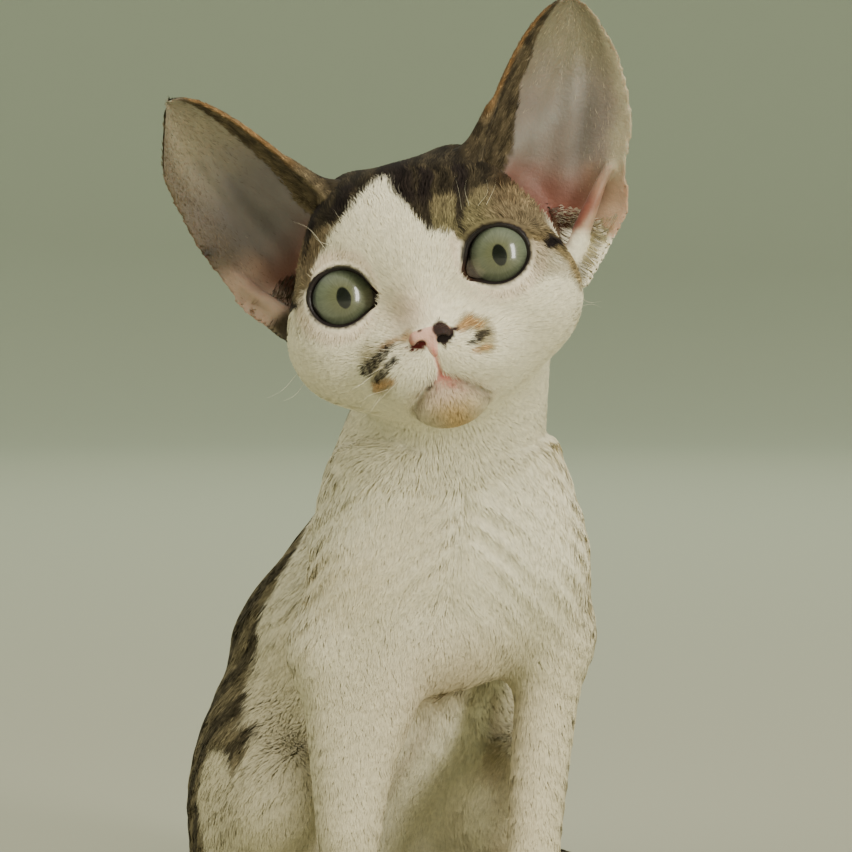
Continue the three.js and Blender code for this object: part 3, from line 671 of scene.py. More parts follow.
# The last colour below is the lips' dark edge, darkened further as painted shade in the mouth's groove.
# The second colour below is painted shade, for the gaps between the legs and the belly.
PINK_SKIN, LEG_GAP_SHADE, LIP_PINK, LIP_EDGE_AND_SHADE = srgb((214, 168, 150), (146, 118, 90), (200, 112, 104), (104, 80, 64))
EAR_SKIN = srgb((132, 119, 107), (121, 112, 106))  # of the left ear and of the right one, as in the next
TIP = srgb((126, 118, 89), (164, 152, 124))
CANAL_SKIN = srgb((132, 79, 63), (112, 70, 54))
RIM = srgb((174, 164, 134), (86, 72, 46))
POUCH = srgb((174, 143, 116), (178, 152, 130))
# A painted highlight and painted shade for the folds inside the ears
EAR_HIGHLIGHT, EAR_SHADE = srgb((148, 141, 131), (92, 85, 75))
NOSE_PINK, NOSE_BROWN = srgb((222, 178, 158), (150, 92, 74))
# The first is painted shade for the insides of the nostrils.
NOSTRIL_SHADE, CLAW_HORN = srgb((74, 26, 22), (226, 212, 196))


def layered(colours, *layers):
    """Colours painted over in turn, each colour as strongly as its mask has it."""
    for colour, mask in layers:
        colours = colours + (colour - colours) * np.asarray(mask)[:, None]
    return colours


def stroke(x, z, points, widths, soft):
    """A mask along a line of (x, z) points, as wide as given at its start and its end."""
    best = np.full(len(x), 1e9)
    points = np.array(points, float)
    steps = len(points) - 1
    for n in range(steps):
        a, d = points[n], points[n + 1] - points[n]
        along = np.clip(((x - a[0]) * d[0] + (z - a[1]) * d[1]) / (d @ d), 0, 1)
        width = mix(widths[0], widths[1], (n + along) / steps) / 2
        best = np.minimum(best, np.hypot(x - a[0] - along * d[0], z - a[1] - along * d[1]) - width)
    return 1 - smooth(best, -soft, soft)


# The edge of the tabby on the face: its height over the eyes at places across the face
TABBY_X = (-40, -34, -29, -26, -22.4, -20.4, -16.8, -13.1, -8, -4, -1.4, 0.6, 2, 3.6, 5, 7.5, 10, 11.5)
TABBY_X += (20, 22.5, 25, 27.5, 29.5, 31.2, 33, 40)
TABBY_Z = (-6, -3, 0.3, 2, 2.9, 6.8, 10.4, 13.1, 16.6, 19.4, 20.4, 17.2, 12.7, 8.8, 6.9, 5.4, 4.8, 3)
TABBY_Z += (3, 1.5, 0.6, 0.4, -1, -2, -2, 0)
# The edge of the dark mantle on the flanks: how far back it starts at heights over the floor
MANTLE_Z = (0, 23, 28, 33, 42.5, 45, 47, 50, 56, 61, 68, 77, 88, 105, 125)
MANTLE_Y = (10, 13.4, 16, 20.6, 21.5, 18, 9, 10.6, 14.8, 18.6, 20, 22, 23, 30, 18)
# Marks on the face: a line of (x, z) points, its widths at both ends and how soft it is
BARS = (
    ([(0.6, 22), (2.4, 15.6), (3.9, 9.6)], (6.4, 0.9), 0.5),
    ([(6.4, 18.5), (5.4, 13), (4.7, 7.4)], (3.0, 1.7), 0.4),
    ([(13.2, 17.5), (12.6, 12), (11.4, 6.6)], (3.0, 2.0), 0.45),
    ([(-9.5, 20), (-12.4, 16.4), (-14.6, 14.4)], (3.4, 1.4), 0.6),
    ([(-17, 20), (-20.5, 14), (-23, 9.5)], (2.4, 1.4), 0.7),
)
OUTER_SPOTS = (
    ([(26.6, 0.6), (29.4, -0.2)], (2.6, 1.2), 0.4),
    ([(-25.6, 1.6), (-28.6, 2.4)], (1.6, 1.2), 0.4),
)
PAD_SPOTS = (
    ([(-13.2, -19.6), (-9.0, -19.2)], (2.2, 2.2 * 0.7), 0.6),
    ([(-9.2, -12.4), (-6.4, -12.0)], (1.5, 1.5 * 0.7), 0.6),
    ([(-4.9, -12.2), (-3.6, -11.2)], (1.5, 1.5 * 0.7), 0.6),
)
PAD_ROWS = (
    ([(-14.2, -15.8), (-8.4, -13.0)], (2.7, 2.1), 0.3),
    ([(-12.4, -18.2), (-7.2, -15.4)], (1.9, 1.5), 0.3),
)
PAD_DASHES = (
    ([(8.8, -15.2), (10.0, -15.0)], (1.9, 1.9 * 0.8), 0.3),
    ([(7.3, -16.0), (8.5, -15.8)], (0.9, 0.9 * 0.8), 0.3),
)
BLOB_TAILS = (
    ([(3.6, -13.2), (5.6, -12.7)], (2.0, 0.8), 0.25),
    ([(3.0, -13.4), (2.4, -15.8)], (2.2, 0.7), 0.25),
)
NOSTRIL_LINE = [(1.9, -0.4), (4.8, -0.8)]


def blob_mask(x, z):
    """The black patch on the left of the nose, with a tail outwards and one down."""
    patch = stroke(x, z, [(2.4, -11.9), (3.2, -13.5)], (3.1, 3.2), 0.2)
    return np.maximum.reduce([patch] + [stroke(x, z, *mark) for mark in BLOB_TAILS])


def head_colours(points):
    x, y, z = to_head(points).T
    broad, fine = noise(points, 3.2, 1), noise(points, 0.9, 2)
    ragged = 0.7 * broad + 0.5 * fine
    front, muzzle, before = 1 - smooth(y, 2, 14), 1 - smooth(y, -7, -4), 1 - smooth(y, 5, 9)
    wobbling = (x + 0.35 * fine + 0.3 * broad, z + 0.35 * broad)
    mark = lambda *shape: stroke(*wobbling, *shape)
    tabby = smooth(z - np.interp(x, TABBY_X, TABBY_Z) + ragged, -0.7, 0.9)
    behind = smooth(y + ragged, 12, 20) * smooth(z - mix(-6, -24, smooth(y, 14, 34)) + 2 * ragged, -2, 2)
    colours = layered(WHITE, (PINK_SKIN, 0.35 * np.exp(-((x + 3.5) ** 2 / 16 + (z + 7.5) ** 2 / 20)) * front))
    for side in (-1, 1):
        ring = np.hypot((x - side * EYE[0]) / 8.4, z / 7.6)
        colours = layered(colours, (PINK_SKIN, 0.28 * bump(ring - 1, 0.13) * front))
    # The ground of the tabby: tan between the bars, greyer brown outwards, dark on the crown
    crown = smooth(z + 0.12 * y - 0.05 * np.abs(x - 3) + 0.8 * broad + 0.7 * fine, 11.0, 13.2)
    streaks = 0.5 + 0.5 * np.sin(x * 1.5 + 2.2 * broad + 0.04 * y)
    crown = crown * (0.8 + 0.2 * streaks) * (1 - 0.75 * smooth(y + 4 * broad, 18, 34))
    ear_side = smooth(np.abs(x), 17, 24) * smooth(z, 4, 12) * (1 - smooth(y, 10, 20))
    ground = layered(
        BROW,
        (BROWN, smooth(np.abs(x - 8) + ragged, 6, 13)),
        (BROWN, smooth(z + 3 * broad, 9, 17) * 0.8),
        (DARK, 0.45 * smooth(fine + 0.6 * broad, 0.0, 0.7)),
        (CROWN_DARK, np.maximum(crown, smooth(y, 6, 22) * streaks * 0.8)),
        (ORANGE, 0.2 * ear_side * (0.5 + 0.5 * fine)),
    )
    tabby = np.maximum(tabby * (1 - smooth(y, 10, 18) * (1 - smooth(z, 6, 12))), behind)
    colours = layered(colours, (ground, tabby), *[(BLACK, 0.86 * mark(*bar) * front) for bar in BARS])
    # Beside the eyes: a dark spot at each outer corner and a stripe down to the left cheek
    colours = layered(
        colours,
        (OLIVE, 0.6 * mark([(25, 0), (25.5, -4), (28, -6)], (5.5, 3.5), 2.0) * front),
        (OLIVE, 0.95 * mark([(28.2, 0), (30.4, -4), (31.6, -11)], (3.0, 3.4), 0.8)),
        (DARK, 0.7 * mark([(29, 0.4), (31.4, -4)], (1.6, 1.2), 0.6)),
        *[(BLACK, mark(*spot) * before) for spot in OUTER_SPOTS],
    )
    for side in (-1, 1):
        close = np.hypot((x - side * EYE[0]) / (LID_WIDE + 0.5), z / (LID_HIGH + 0.5))
        colours = layered(colours, (EYE_RIM, 0.9 * (1 - smooth(close, 0.97, 1.03)) * front))
    # Under the right ear a dark patch
    patch = stroke(x + ragged, z, [(-33.8, 1.5), (-33, -4.5)], (4.4, 3.0), 0.6) * smooth(y, 8, 14)
    under = 0.8 * smooth(-x, 26, 29) * smooth(y, 4, 8) * (1 - smooth(z, 8, 12)) * smooth(z, -3, 0)
    # The pads of the whiskers: tan, with rows of black dashes, then the chin
    broken = [0.8 + 0.2 * np.sin(x * 4.2 + row * 2.1) for row in range(2)]
    chin = np.exp(-((x - 0.6) ** 2 / 42)) * smooth(-z, 22.5, 28) * (1 - smooth(y, -6, 0))
    colours = layered(
        colours,
        (BROWN, under),
        (DARK, 0.85 * patch),
        (TAN, 0.7 * mark([(-12.2, -13.6), (-11.6, -19.6)], (4.6, 4.2), 1.8) * muzzle),
        *[(ORANGE, 0.75 * mark(*spot) * muzzle) for spot in PAD_SPOTS],
        *[(BLACK, broken[n] * mark(*row) * muzzle) for n, row in enumerate(PAD_ROWS)],
        (TAN, 0.8 * mark([(6.8, -12.0), (9.6, -13.4), (9.8, -17.2)], (2.4, 3.2), 0.6) * muzzle),
        (ORANGE, 0.75 * mark([(6.0, -13.0), (7.4, -12.1), (9.2, -13.2)], (2.0, 1.4), 0.5) * muzzle),
        (ORANGE, 0.7 * mark([(7.8, -17.6), (10.2, -17.4)], (1.3, 1.0), 0.4)),
        *[(BLACK, 0.9 * mark(*dash) * muzzle) for dash in PAD_DASHES],
        (BLOB, blob_mask(x, z) * muzzle),
        (PINK_SKIN, 0.5 * np.exp(-(x**2 / 30 + (z + 24.5) ** 2 / 6)) * muzzle),
        (BUFF, 0.9 * chin),
    )
    # The lips, their dark edges deepened with painted shade in the mouth's groove, and the nostrils' edges
    side = np.abs(x)
    front = 1 - smooth(y, -8, -5)
    line = stroke(side, z, [(p[0], p[2] - 0.3) for p in MOUTH_SIDE], (1.8, 1.5), 0.9) * front
    crease = stroke(side, z, [(0, MOUTH_TOP[2]), (0, MOUTH_FORK[2])], (0.7, 0.9), 0.4) * front
    pink = bump(x - 0.8, 2.6)
    inner_nose = np.maximum(0, 0.8 - NOSE_SOLID(np.stack([x, y, z]))) / 0.8
    # Painted shade inside the nostrils, black on the left where the black patch reaches them
    shaded_nostrils = stroke(side, z - NOSE_TIP[2], NOSTRIL_LINE, (2.2, 1.5), 0.3)
    return layered(
        colours,
        (LIP_EDGE_AND_SHADE + (LIP_PINK - LIP_EDGE_AND_SHADE) * pink[:, None], mix(0.62, 0.95, pink) * line),
        (LIP_PINK, 0.8 * crease),
        (DARK, 0.8 * stroke(x, z, [(-3.2, -23.0), (-2.2, -22.4)], (1.0, 0.7), 0.3) * front),
        (np.where(x[:, None] > 0, BLACK, NOSTRIL_SHADE), np.minimum(inner_nose * 2, 1) * shaded_nostrils),
    )


def body_colours(points):
    x, y, z = points.T
    broad, fine = noise(points, 9, 3), noise(points, 2.2, 4)
    back = np.interp(z, MANTLE_Z, MANTLE_Y) + mix(7, 11, smooth(z, 50, 70)) * smooth(x, -5, 5)
    mantle = smooth(y - back + 1.6 * broad + 1.2 * fine, -1.6, 1.6)
    mantle = np.maximum(mantle, stroke(y + fine, z, [(11, 48), (4.8, 42)], (6, 1.6), 1.0) * (np.abs(x) > 20))
    inner = (1 - smooth(np.abs(x), 12, 20)) * (1 - smooth(y, 20, 40)) * (1 - smooth(z, 30, 60))
    thin = bump(x, 13) * smooth(-y, 4, 16) * (1 - smooth(z, 62, 84)) * smooth(z, 20, 40)
    # Painted shade down the inner edges of the legs, where they meet the belly
    ways = ([(2, 53), (-9, 30), (-13, 12)], [(21, 55), (17, 12)])
    streaks = [stroke(x + fine, z, way, (3, 5), 2.5) for way in ways]
    gap_shade = np.maximum(*streaks) * smooth(y, -13, -6) * (1 - smooth(y, 8, 26))
    inward = smooth(y, -14, -8) * (1 - smooth(y, 20, 34)) * (1 - smooth(np.abs(x + 1), 17, 23))
    inward = inward * smooth(60 - z, 0, 10)
    bars = 0.5 + 0.5 * np.sin(y * 0.42 + z * 0.24 + 3.2 * noise(points, 15, 6))
    dark = np.maximum(smooth(bars + 0.3 * fine, 0.3, 0.75), bump(x, 7) * smooth(y, 20, 40))
    ground = layered(BROWN_BACK, (DARK_BACK, 0.25 + 0.7 * dark))
    return layered(
        WHITE,
        # A warmer white in random patches, and more of it lower down as painted shade towards the floor
        (WARM_WHITE, 0.5 * smooth(noise(points, 16, 5) + 0.25, 0, 1) + 0.45 * smooth(70 - z, 0, 50)),
        # Painted shade, darker towards the floor, left out between the forelegs, where plain white is painted
        # instead
        (SHADED_LOW_WHITE, 0.85 * smooth(95 - z, 0, 36) * (1 - inward)),
        (WHITE, inward),
        (PINK_SKIN, 0.2 * thin),
        # Painted shade in the gaps between the legs and the belly
        (LEG_GAP_SHADE, 0.4 * gap_shade),
        (ground, mantle * (1 - inner) * smooth(z + 2 * broad, 6, 12)),
    )


def tail_share(points):
    """How far along the tail the nearest place on its curve lies, from 0 to 1."""
    share = np.empty(len(points))
    for start in range(0, len(points), 50000):
        part = points[start : start + 50000]
        share[start : start + 50000] = ((part[:, None] - TAIL) ** 2).sum(-1).argmin(1) / TAIL_STEPS
    return share


def tail_colours(points):
    share = tail_share(points)
    rings = 0.5 + 0.5 * np.sin(share * 62 + noise(points, 4, 8))
    dark = np.maximum(smooth(rings, 0.35, 0.7), smooth(share, 0.86, 0.94))
    return layered(BROWN_BACK, (DARK_BACK, 0.2 + 0.75 * dark))


def is_tail(points):
    return tail(points.T.astype(np.float32)) + 0.4 < body(points.T.astype(np.float32))


# How wide the furred band inside an ear's inner rim is, as a share of the half width, at heights along it
BAND_T = (0, 5, 10, 15, 20, 25, 30, 35, 41)
BAND = (0.5, 0.64, 0.66, 0.56, 0.47, 0.41, 0.38, 0.32, 0.2)
# Where the painted highlight along a fold inside an ear runs, as a share across, at heights along it
HIGHLIGHT_T = (10, 16, 22, 28)
HIGHLIGHT_ACROSS = (-0.5, -0.1, 0.22, 0.3)
CUP_BACK = -13.3  # the w of the sheet where the cup is deepest


def ear_state(points):
    """For points of the part's frame: how bare the ear's inside is there, the share across, the height
    along the ear, whether the point belongs to an ear, whether to the left one, and whether to its back or
    its furred edge."""
    local = to_head(points)
    left = local[:, 0] > 0
    side = folded(local.T)
    over, share, past, t, w = ear_measures(side, left)
    close = (past < 1.5) & (np.abs(over) < 1.8) & (t > -EAR_SUNK) & (t < EAR_HEIGHT + 2)
    in_cup = (over > 0) & (w < 1.2) & (past < 0.2) & (t > CANAL_FLOOR - 9)
    in_canal = (CANAL(side) < 2.2) & (w > CUP_BACK) | (CUP_FLOOR(side) < 0.6) & (over > 0)
    band = np.interp(t, BAND_T, BAND) + 0.04 * noise(points, 2, 11) + 0.05 * noise(points, 0.7, 12)
    furred = smooth(-share, 1 - band - 0.04, 1 - band + 0.04) * (1 - smooth(t, 40, 44))
    bare = np.where(in_cup | in_canal, 1 - furred, 0)
    bare = np.where(KNOBS(side) < 0.5, 1, bare) * (1 - smooth(share, 0.55, 0.65) * (1 - smooth(t, -5, -2)))
    below_flap = left & (share > 0.5) & (t < 5)
    behind = ((over < 0) | (furred > 0.3)) & ~below_flap
    return bare, share, t, close | in_cup | in_canal, left, behind


def ear_skin(points, share, t, left):
    """The colours of the bare inside: a painted highlight on one fold and painted shade on another, tan to
    the tip, red in the canal.
    """
    broad = noise(points, 3.5, 9)
    sided = lambda pair: np.where(left[:, None], pair[0], pair[1])
    light = bump(share - np.interp(t, HIGHLIGHT_T, HIGHLIGHT_ACROSS), 0.24) * smooth(t, 5, 12) * (1 - smooth(t, 24, 34))
    shade = bump(share - 0.5 + 0.3 * ~left, 0.17) * smooth(t, 8, 14) * (1 - smooth(t, 20, 34))
    notch = ~left * smooth(share, 0.8, 0.95) * bump(t - 16, 1.5)
    sides = smooth(np.abs(share - 0.2), 0.4, mix(0.45, 0.7, smooth(t, -2, 6)))
    canal = (1 - smooth(t + 1.2 * broad, 1, 13)) * (1 - sides)
    return layered(
        sided(EAR_SKIN),
        (sided(TIP), 0.8 * smooth(t + 2 * broad, 20, 36)),
        # Painted highlight along one fold, stronger on the left ear, and painted shade along the other
        (EAR_HIGHLIGHT, light * np.where(left, 0.7, 0.12)),
        (EAR_SHADE, np.where(left, 0.75, 0.4) * shade),
        (sided(RIM), 0.85 * smooth(share + 0.05 * broad, np.where(left, 0.72, 0.5), 0.92)),
        (sided(POUCH), 0.9 * smooth(share, 0.52, 0.68) * (1 - smooth(t + broad, 6, 14))),
        (DARK, 0.85 * notch),
        (sided(CANAL_SKIN), 0.95 * canal),
    )


def ear_colours(points, colours):
    bare, share, t, belongs, left, behind = ear_state(points)
    broad, fine = noise(points, 1.6, 13), noise(points, 0.8, 10)
    back = layered(
        BROWN,
        (DARK, mix(0.12, 0.3, left) + 0.6 * smooth(broad + 0.7 * fine, -0.6, 0.6)),
        (ORANGE, 0.55 * smooth(-share, 0.9, 1.0) * (0.7 + 0.3 * fine) * smooth(t, 12, 20)),
        (ORANGE, 0.35 * smooth(share, 0.93, 1.0) * (0.7 + 0.3 * fine)),
        (BLACK, 0.8 * smooth(t, 39, 42.5) * (share < 0.3)),
    )
    # White under the left ear, behind the stripe of the cheek and in front of the ear's back
    x, y, z = to_head(points).T
    foot = smooth(y, 5, 8) * smooth(x, 26, 28) * (1 - smooth(y, 27, 30)) * (1 - smooth(z, 8, 12))
    return layered(
        colours,
        (WHITE, foot * left),
        (back, belongs * behind * smooth(t, -6, 6) * (bare < 0.5)),
        (ear_skin(points, share, t, left), bare),
    )


# The markings, together with the painted shade and highlight laid among them
def markings_and_painted_light(points):
    share = head_share(points)
    colours = body_colours(points) * (1 - share)[:, None] + head_colours(points) * share[:, None]
    behind = is_tail(points)
    if behind.any():
        colours[behind] = tail_colours(points[behind])
    close = share > 0
    colours[close] = ear_colours(points[close], colours[close])
    return colours


# Making pieces


def new_piece(name, points, faces, material):
    """A mesh piece from points in the part's frame and arrays of faces, one for each count of corners."""
    mesh = bpy.data.meshes.new(name)
    mesh.vertices.add(len(points))
    mesh.vertices.foreach_set("co", ((points + SHIFT) * MM).astype(np.float32).ravel())
    corners = np.concatenate([f.ravel() for f in faces]).astype(np.int32)
    counts = np.concatenate([np.full(len(f), f.shape[1]) for f in faces])
    mesh.loops.add(len(corners))
    mesh.loops.foreach_set("vertex_index", corners)
    mesh.polygons.add(len(counts))
    mesh.polygons.foreach_set("loop_start", np.concatenate([[0], np.cumsum(counts)[:-1]]).astype(np.int32))
    mesh.update(calc_edges=True)
    mesh.shade_smooth()
    piece = bpy.data.objects.new(name, mesh)
    bpy.context.scene.collection.objects.link(piece)
    mesh.materials.append(material)
    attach(piece, "root")
    return piece


def paint(piece, colours):
    layer = piece.data.color_attributes.new("coat", "FLOAT_COLOR", "POINT")
    rgba = np.ones((len(colours), 4), np.float32)
    rgba[:, :3] = colours
    layer.data.foreach_set("color", rgba.ravel())


def shader_of(material):
    return material.node_tree.nodes["Principled BSDF"]


def new_material(name, roughness, specular=0.35, sheen=0.0, subsurface=0.0, coat=0.0):
    material = bpy.data.materials.new(name)
    material.use_nodes = True
    looks = {
        "Roughness": roughness,
        "Specular IOR Level": specular,
        "Sheen Weight": sheen,
        "Sheen Roughness": 0.5,
        "Subsurface Weight": subsurface,
        "Subsurface Radius": (1.0, 0.35, 0.22),
        "Subsurface Scale": 0.002,
        "Coat Weight": coat,
        "Coat Roughness": 0.03,
    }
    for key, value in looks.items():
        shader_of(material).inputs[key].default_value = value
    return material


def node(material, kind, inputs, **settings):
    made = material.node_tree.nodes.new("ShaderNode" + kind)
    for key, value in settings.items():
        setattr(made, key, value)
    for key, value in inputs.items():
        if isinstance(value, bpy.types.NodeSocket):
            material.node_tree.links.new(value, made.inputs[key])
        else:
            made.inputs[key].default_value = value
    return made.outputs


def varied(material, size, low, high, grain, grain_size=0.0009):
    """Sets the base colour to the attribute coat's, lighter and darker in lumps of a size in metres, and
    adds a fine grain to the shading."""
    colour = node(material, "Attribute", {}, attribute_name="coat")["Color"]
    place = node(material, "TexCoord", {})["Object"]
    lumps = node(material, "TexNoise", {"Vector": place, "Scale": 1 / size, "Detail": 3.0})["Fac"]
    shade = node(material, "MapRange", {"Value": lumps, 1: 0.3, 2: 0.7, 3: low, 4: high})["Result"]
    toned = node(material, "VectorMath", {0: colour, "Scale": shade}, operation="SCALE")["Vector"]
    material.node_tree.links.new(toned, shader_of(material).inputs["Base Color"])
    if grain:
        height = node(material, "TexNoise", {"Vector": place, "Scale": 1 / grain_size, "Detail": 4.0})["Fac"]
        relieved = node(material, "Bump", {"Height": height, "Strength": grain, "Distance": 0.0004})["Normal"]
        material.node_tree.links.new(relieved, shader_of(material).inputs["Normal"])
    return material


FUR = varied(new_material("fur", 0.75, 0.1, sheen=0.03), 0.0012, 0.9, 1.08, 0)
UNDERCOAT = varied(new_material("undercoat", 0.9, 0.1, sheen=0.05), 0.0009, 0.84, 1.05, 0.6)
BARE = new_material("bare_skin", 0.5, 0.4, sheen=0.1, subsurface=0.25)
varied(BARE, 0.004, 0.93, 1.05, 0.35, 0.0007)

# The skin, from the floor to the tips of the ears
SKIN_LOW, SKIN_HIGH = (-56, -76, -1.5), (70, 90, 214)
FLESH_NODES = ["head", "neck", "torso", "ear_left", "ear_right", "foreleg_left", "foreleg_right"]
FLESH_NODES += ["forepaw_left", "forepaw_right", "thigh_left", "thigh_right", "hindfoot_left"]
FLESH_NODES += ["hindfoot_right", "tail_base", "tail_middle", "tail_tip"]
CREASE_Z = (60, 72.4, 84.7, 101.6, 109, 117.3, 126)
CREASE_X = (-2, -3.1, -2.1, 0.4, 1.7, -1.1, -2)


def crease_x(z):
    """Where the crease down the middle of the chest runs, at heights over the floor."""
    return np.interp(z, CREASE_Z, CREASE_X)


def relief(points):
    """The height that the coat's waves add: short crests that slant away from the chest's crease."""
    x, y, z = points.T
    bend = 2.4 * noise(points, 12, 21) + 1.3 * noise(points, 5, 22)
    across = np.abs(x - crease_x(z))
    crests = np.sin(2 * math.pi * (z + 0.6 * across + 0.35 * y) / 5.6 + bend)
    crests = crests * (0.3 + 0.7 * smooth(noise(points, 9, 23), -0.5, 0.4))
    chest = smooth(-y, 8, 26) * smooth(z, 66, 90)
    height = mix(mix(0.14, 0.18, smooth(z, 20, 60)), 0.5, chest * bump(across, 24)) * crests
    height = height * smooth(z, 8, 24) * (1 - head_share(points)) * (1 - 0.6 * smooth(z, 104, 118))
    return height - 1.3 * bump(across, 1.7) * chest * (1 - head_share(points))


def rim_share(points):
    """1 along the thin rims of the ears and 0 elsewhere."""
    local = to_head(points).T
    over, _, past, t, _ = ear_measures(folded(local), local[0] > 0)
    return (np.abs(over) < 1.5) * smooth(past, -2.5, -1) * smooth(t, -8, -2)


def lip_zone(local):
    """1 on the bare edges of the lips and on the crease under the nose."""
    x, y, z = local.T
    line = stroke(np.abs(x), z, [(p[0], p[2]) for p in MOUTH_SIDE], (1.1, 0.6), 0.3)
    crease = stroke(np.abs(x), z, [(0, MOUTH_TOP[2]), (0, MOUTH_FORK[2])], (0.9, 0.8), 0.3)
    return np.maximum(line, crease) * (1 - smooth(y, -8, -5))


def make_skin():
    cell = SKIN_CELL * 1
    points, quads = surface(skin_field, SKIN_LOW, SKIN_HIGH, cell)
    points = evened(points, quads, skin_field, 2)
    rims = rim_share(points)[:, None]
    for strength in (1, 1, 1) + (1, -1.04) * 8:
        points = mix(points, eased(points, quads), strength * rims)
    points = points + normals_of(points, quads) * relief(points)[:, None]
    points[:, 2] = np.maximum(points[:, 2], 0.05)
    skin = new_piece("skin", points, [quads], UNDERCOAT)
    paint(skin, markings_and_painted_light(points))
    skin.data.materials.append(BARE)
    bare = np.maximum(ear_state(points)[0] * (head_share(points) > 0), lip_zone(to_head(points)))
    skin.data.polygons.foreach_set("material_index", (bare[quads].mean(1) > 0.5).astype(np.int32))
    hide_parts(*FLESH_NODES)
    return points, quads, normals_of(points, quads), bare


# The coat: flat tapered tufts that start in the skin, rise to the coat's depth and follow its lie. Each kind
# has a length, width, depth, count of segments, spread, bend, and how many stand on a square millimetre.
COATS = {
    "FACE": (2.2, 0.21, 0.42, 2, 0.26, 0.1, 13),
    "CROWN": (3.2, 0.29, 0.75, 3, 0.26, 0.25, 5.6),
    "TRUNK": (4.6, 0.54, 0.6, 3, 0.13, 0.36, 4.3),
    "LEGS": (3.6, 0.5, 0.5, 3, 0.13, 0.26, 5),
    "PAWS": (2.2, 0.26, 0.45, 2, 0.22, 0.1, 8),
    "TAIL": (3.8, 0.33, 0.85, 3, 0.2, 0.3, 5),
    "EARS": (1.9, 0.19, 0.3, 2, 0.22, 0.1, 9.5),
    "FUZZ": (1.7, 0.1, 0.5, 2, 0.3, 0.1, 0.6),
}
ON_FACE, ON_CROWN, ON_TRUNK, ON_LEGS, ON_PAWS, ON_TAIL, ON_EARS, ON_FUZZ = range(8)
# Between the elbow, the thigh and the belly, where the hair is short
LEG_HOLLOW = (24, 3, 53)


def lie_of(points, normals):
    """The way the hair lies: away from the nose and the eyes on the head, down the body and the legs,
    forward on the paws, and away from the crease of the chest."""
    local = to_head(points)
    from_nose = unit(local - NOSE_TIP)
    from_nose[:, 2] -= 0.5 * smooth(local[:, 1], 14, 34)
    for side in (-1, 1):
        from_eye = local - np.array(EYE) * (side, 1, 1)
        close = 1 - smooth(lengths(from_eye), 11, 14.5)
        from_nose = mix(from_nose, unit(from_eye), close[:, None])
    on_the_head = unit(from_nose) @ HEAD_TURN.T
    x, y, z = points.T
    parting = x - crease_x(z)
    feather = 0.55 * np.tanh(parting / 3) * bump(parting, 16) * smooth(-y, 12, 24) * smooth(z, 66, 84)
    aside = feather + 0.12 * np.sign(x) * smooth(z, 60, 110)
    on_the_body = np.stack([aside, 0.42 * smooth(y, -30, 20), -np.ones(len(x))], 1)
    paw = 1 - smooth(z, 9, 17)
    lie = on_the_body * (1 - paw)[:, None] + np.array((0, -1, -0.25)) * paw[:, None]
    share = head_share(points)[:, None]
    lie = lie * (1 - share) + on_the_head * share
    behind = is_tail(points)
    if behind.any():
        ways = np.gradient(TAIL, axis=0)
        lie[behind] = unit(ways[(tail_share(points[behind]) * TAIL_STEPS).round().astype(int)])
    return flat_on(lie, normals)


def zones_of(points):
    """The number of the coat's kind for each point."""
    local = to_head(points)
    x, y, z = points.T
    on_head = head_share(points) > 0.5
    zone = np.full(len(points), ON_TRUNK)
    zone[((z < 62) & (y < -18) | (z < 22)) & ~on_head] = ON_LEGS
    halves = np.stack([np.abs(x + SWAY), y, z], axis=1)
    for center in (FOREPAW, HINDPAW):
        zone[lengths(halves - shifted(center, 0, 1, 0)) < 13] = ON_PAWS
    zone[is_tail(points)] = ON_TAIL
    zone[on_head] = ON_CROWN
    zone[on_head & (local[:, 1] < 1 + 2 * noise(points, 4, 31)) & (local[:, 2] < 16)] = ON_FACE
    bare, _, t, belongs, _, _ = ear_state(points)
    zone[on_head & belongs & (t > 2)] = ON_EARS
    zone[on_head & belongs & (t > 3) & (bare > 0.5)] = ON_FUZZ
    return zone


def in_lids(local):
    """True on the lids' openings and their dark rims."""
    x, z = np.abs(local[:, 0]) - EYE[0], local[:, 2]
    reach = np.hypot(x / (LID_WIDE + 0.9), z / (LID_HIGH + 0.9))
    return (reach < lid_reach(np.arctan2(z / LID_HIGH, x / LID_WIDE))) & (local[:, 1] < 0)


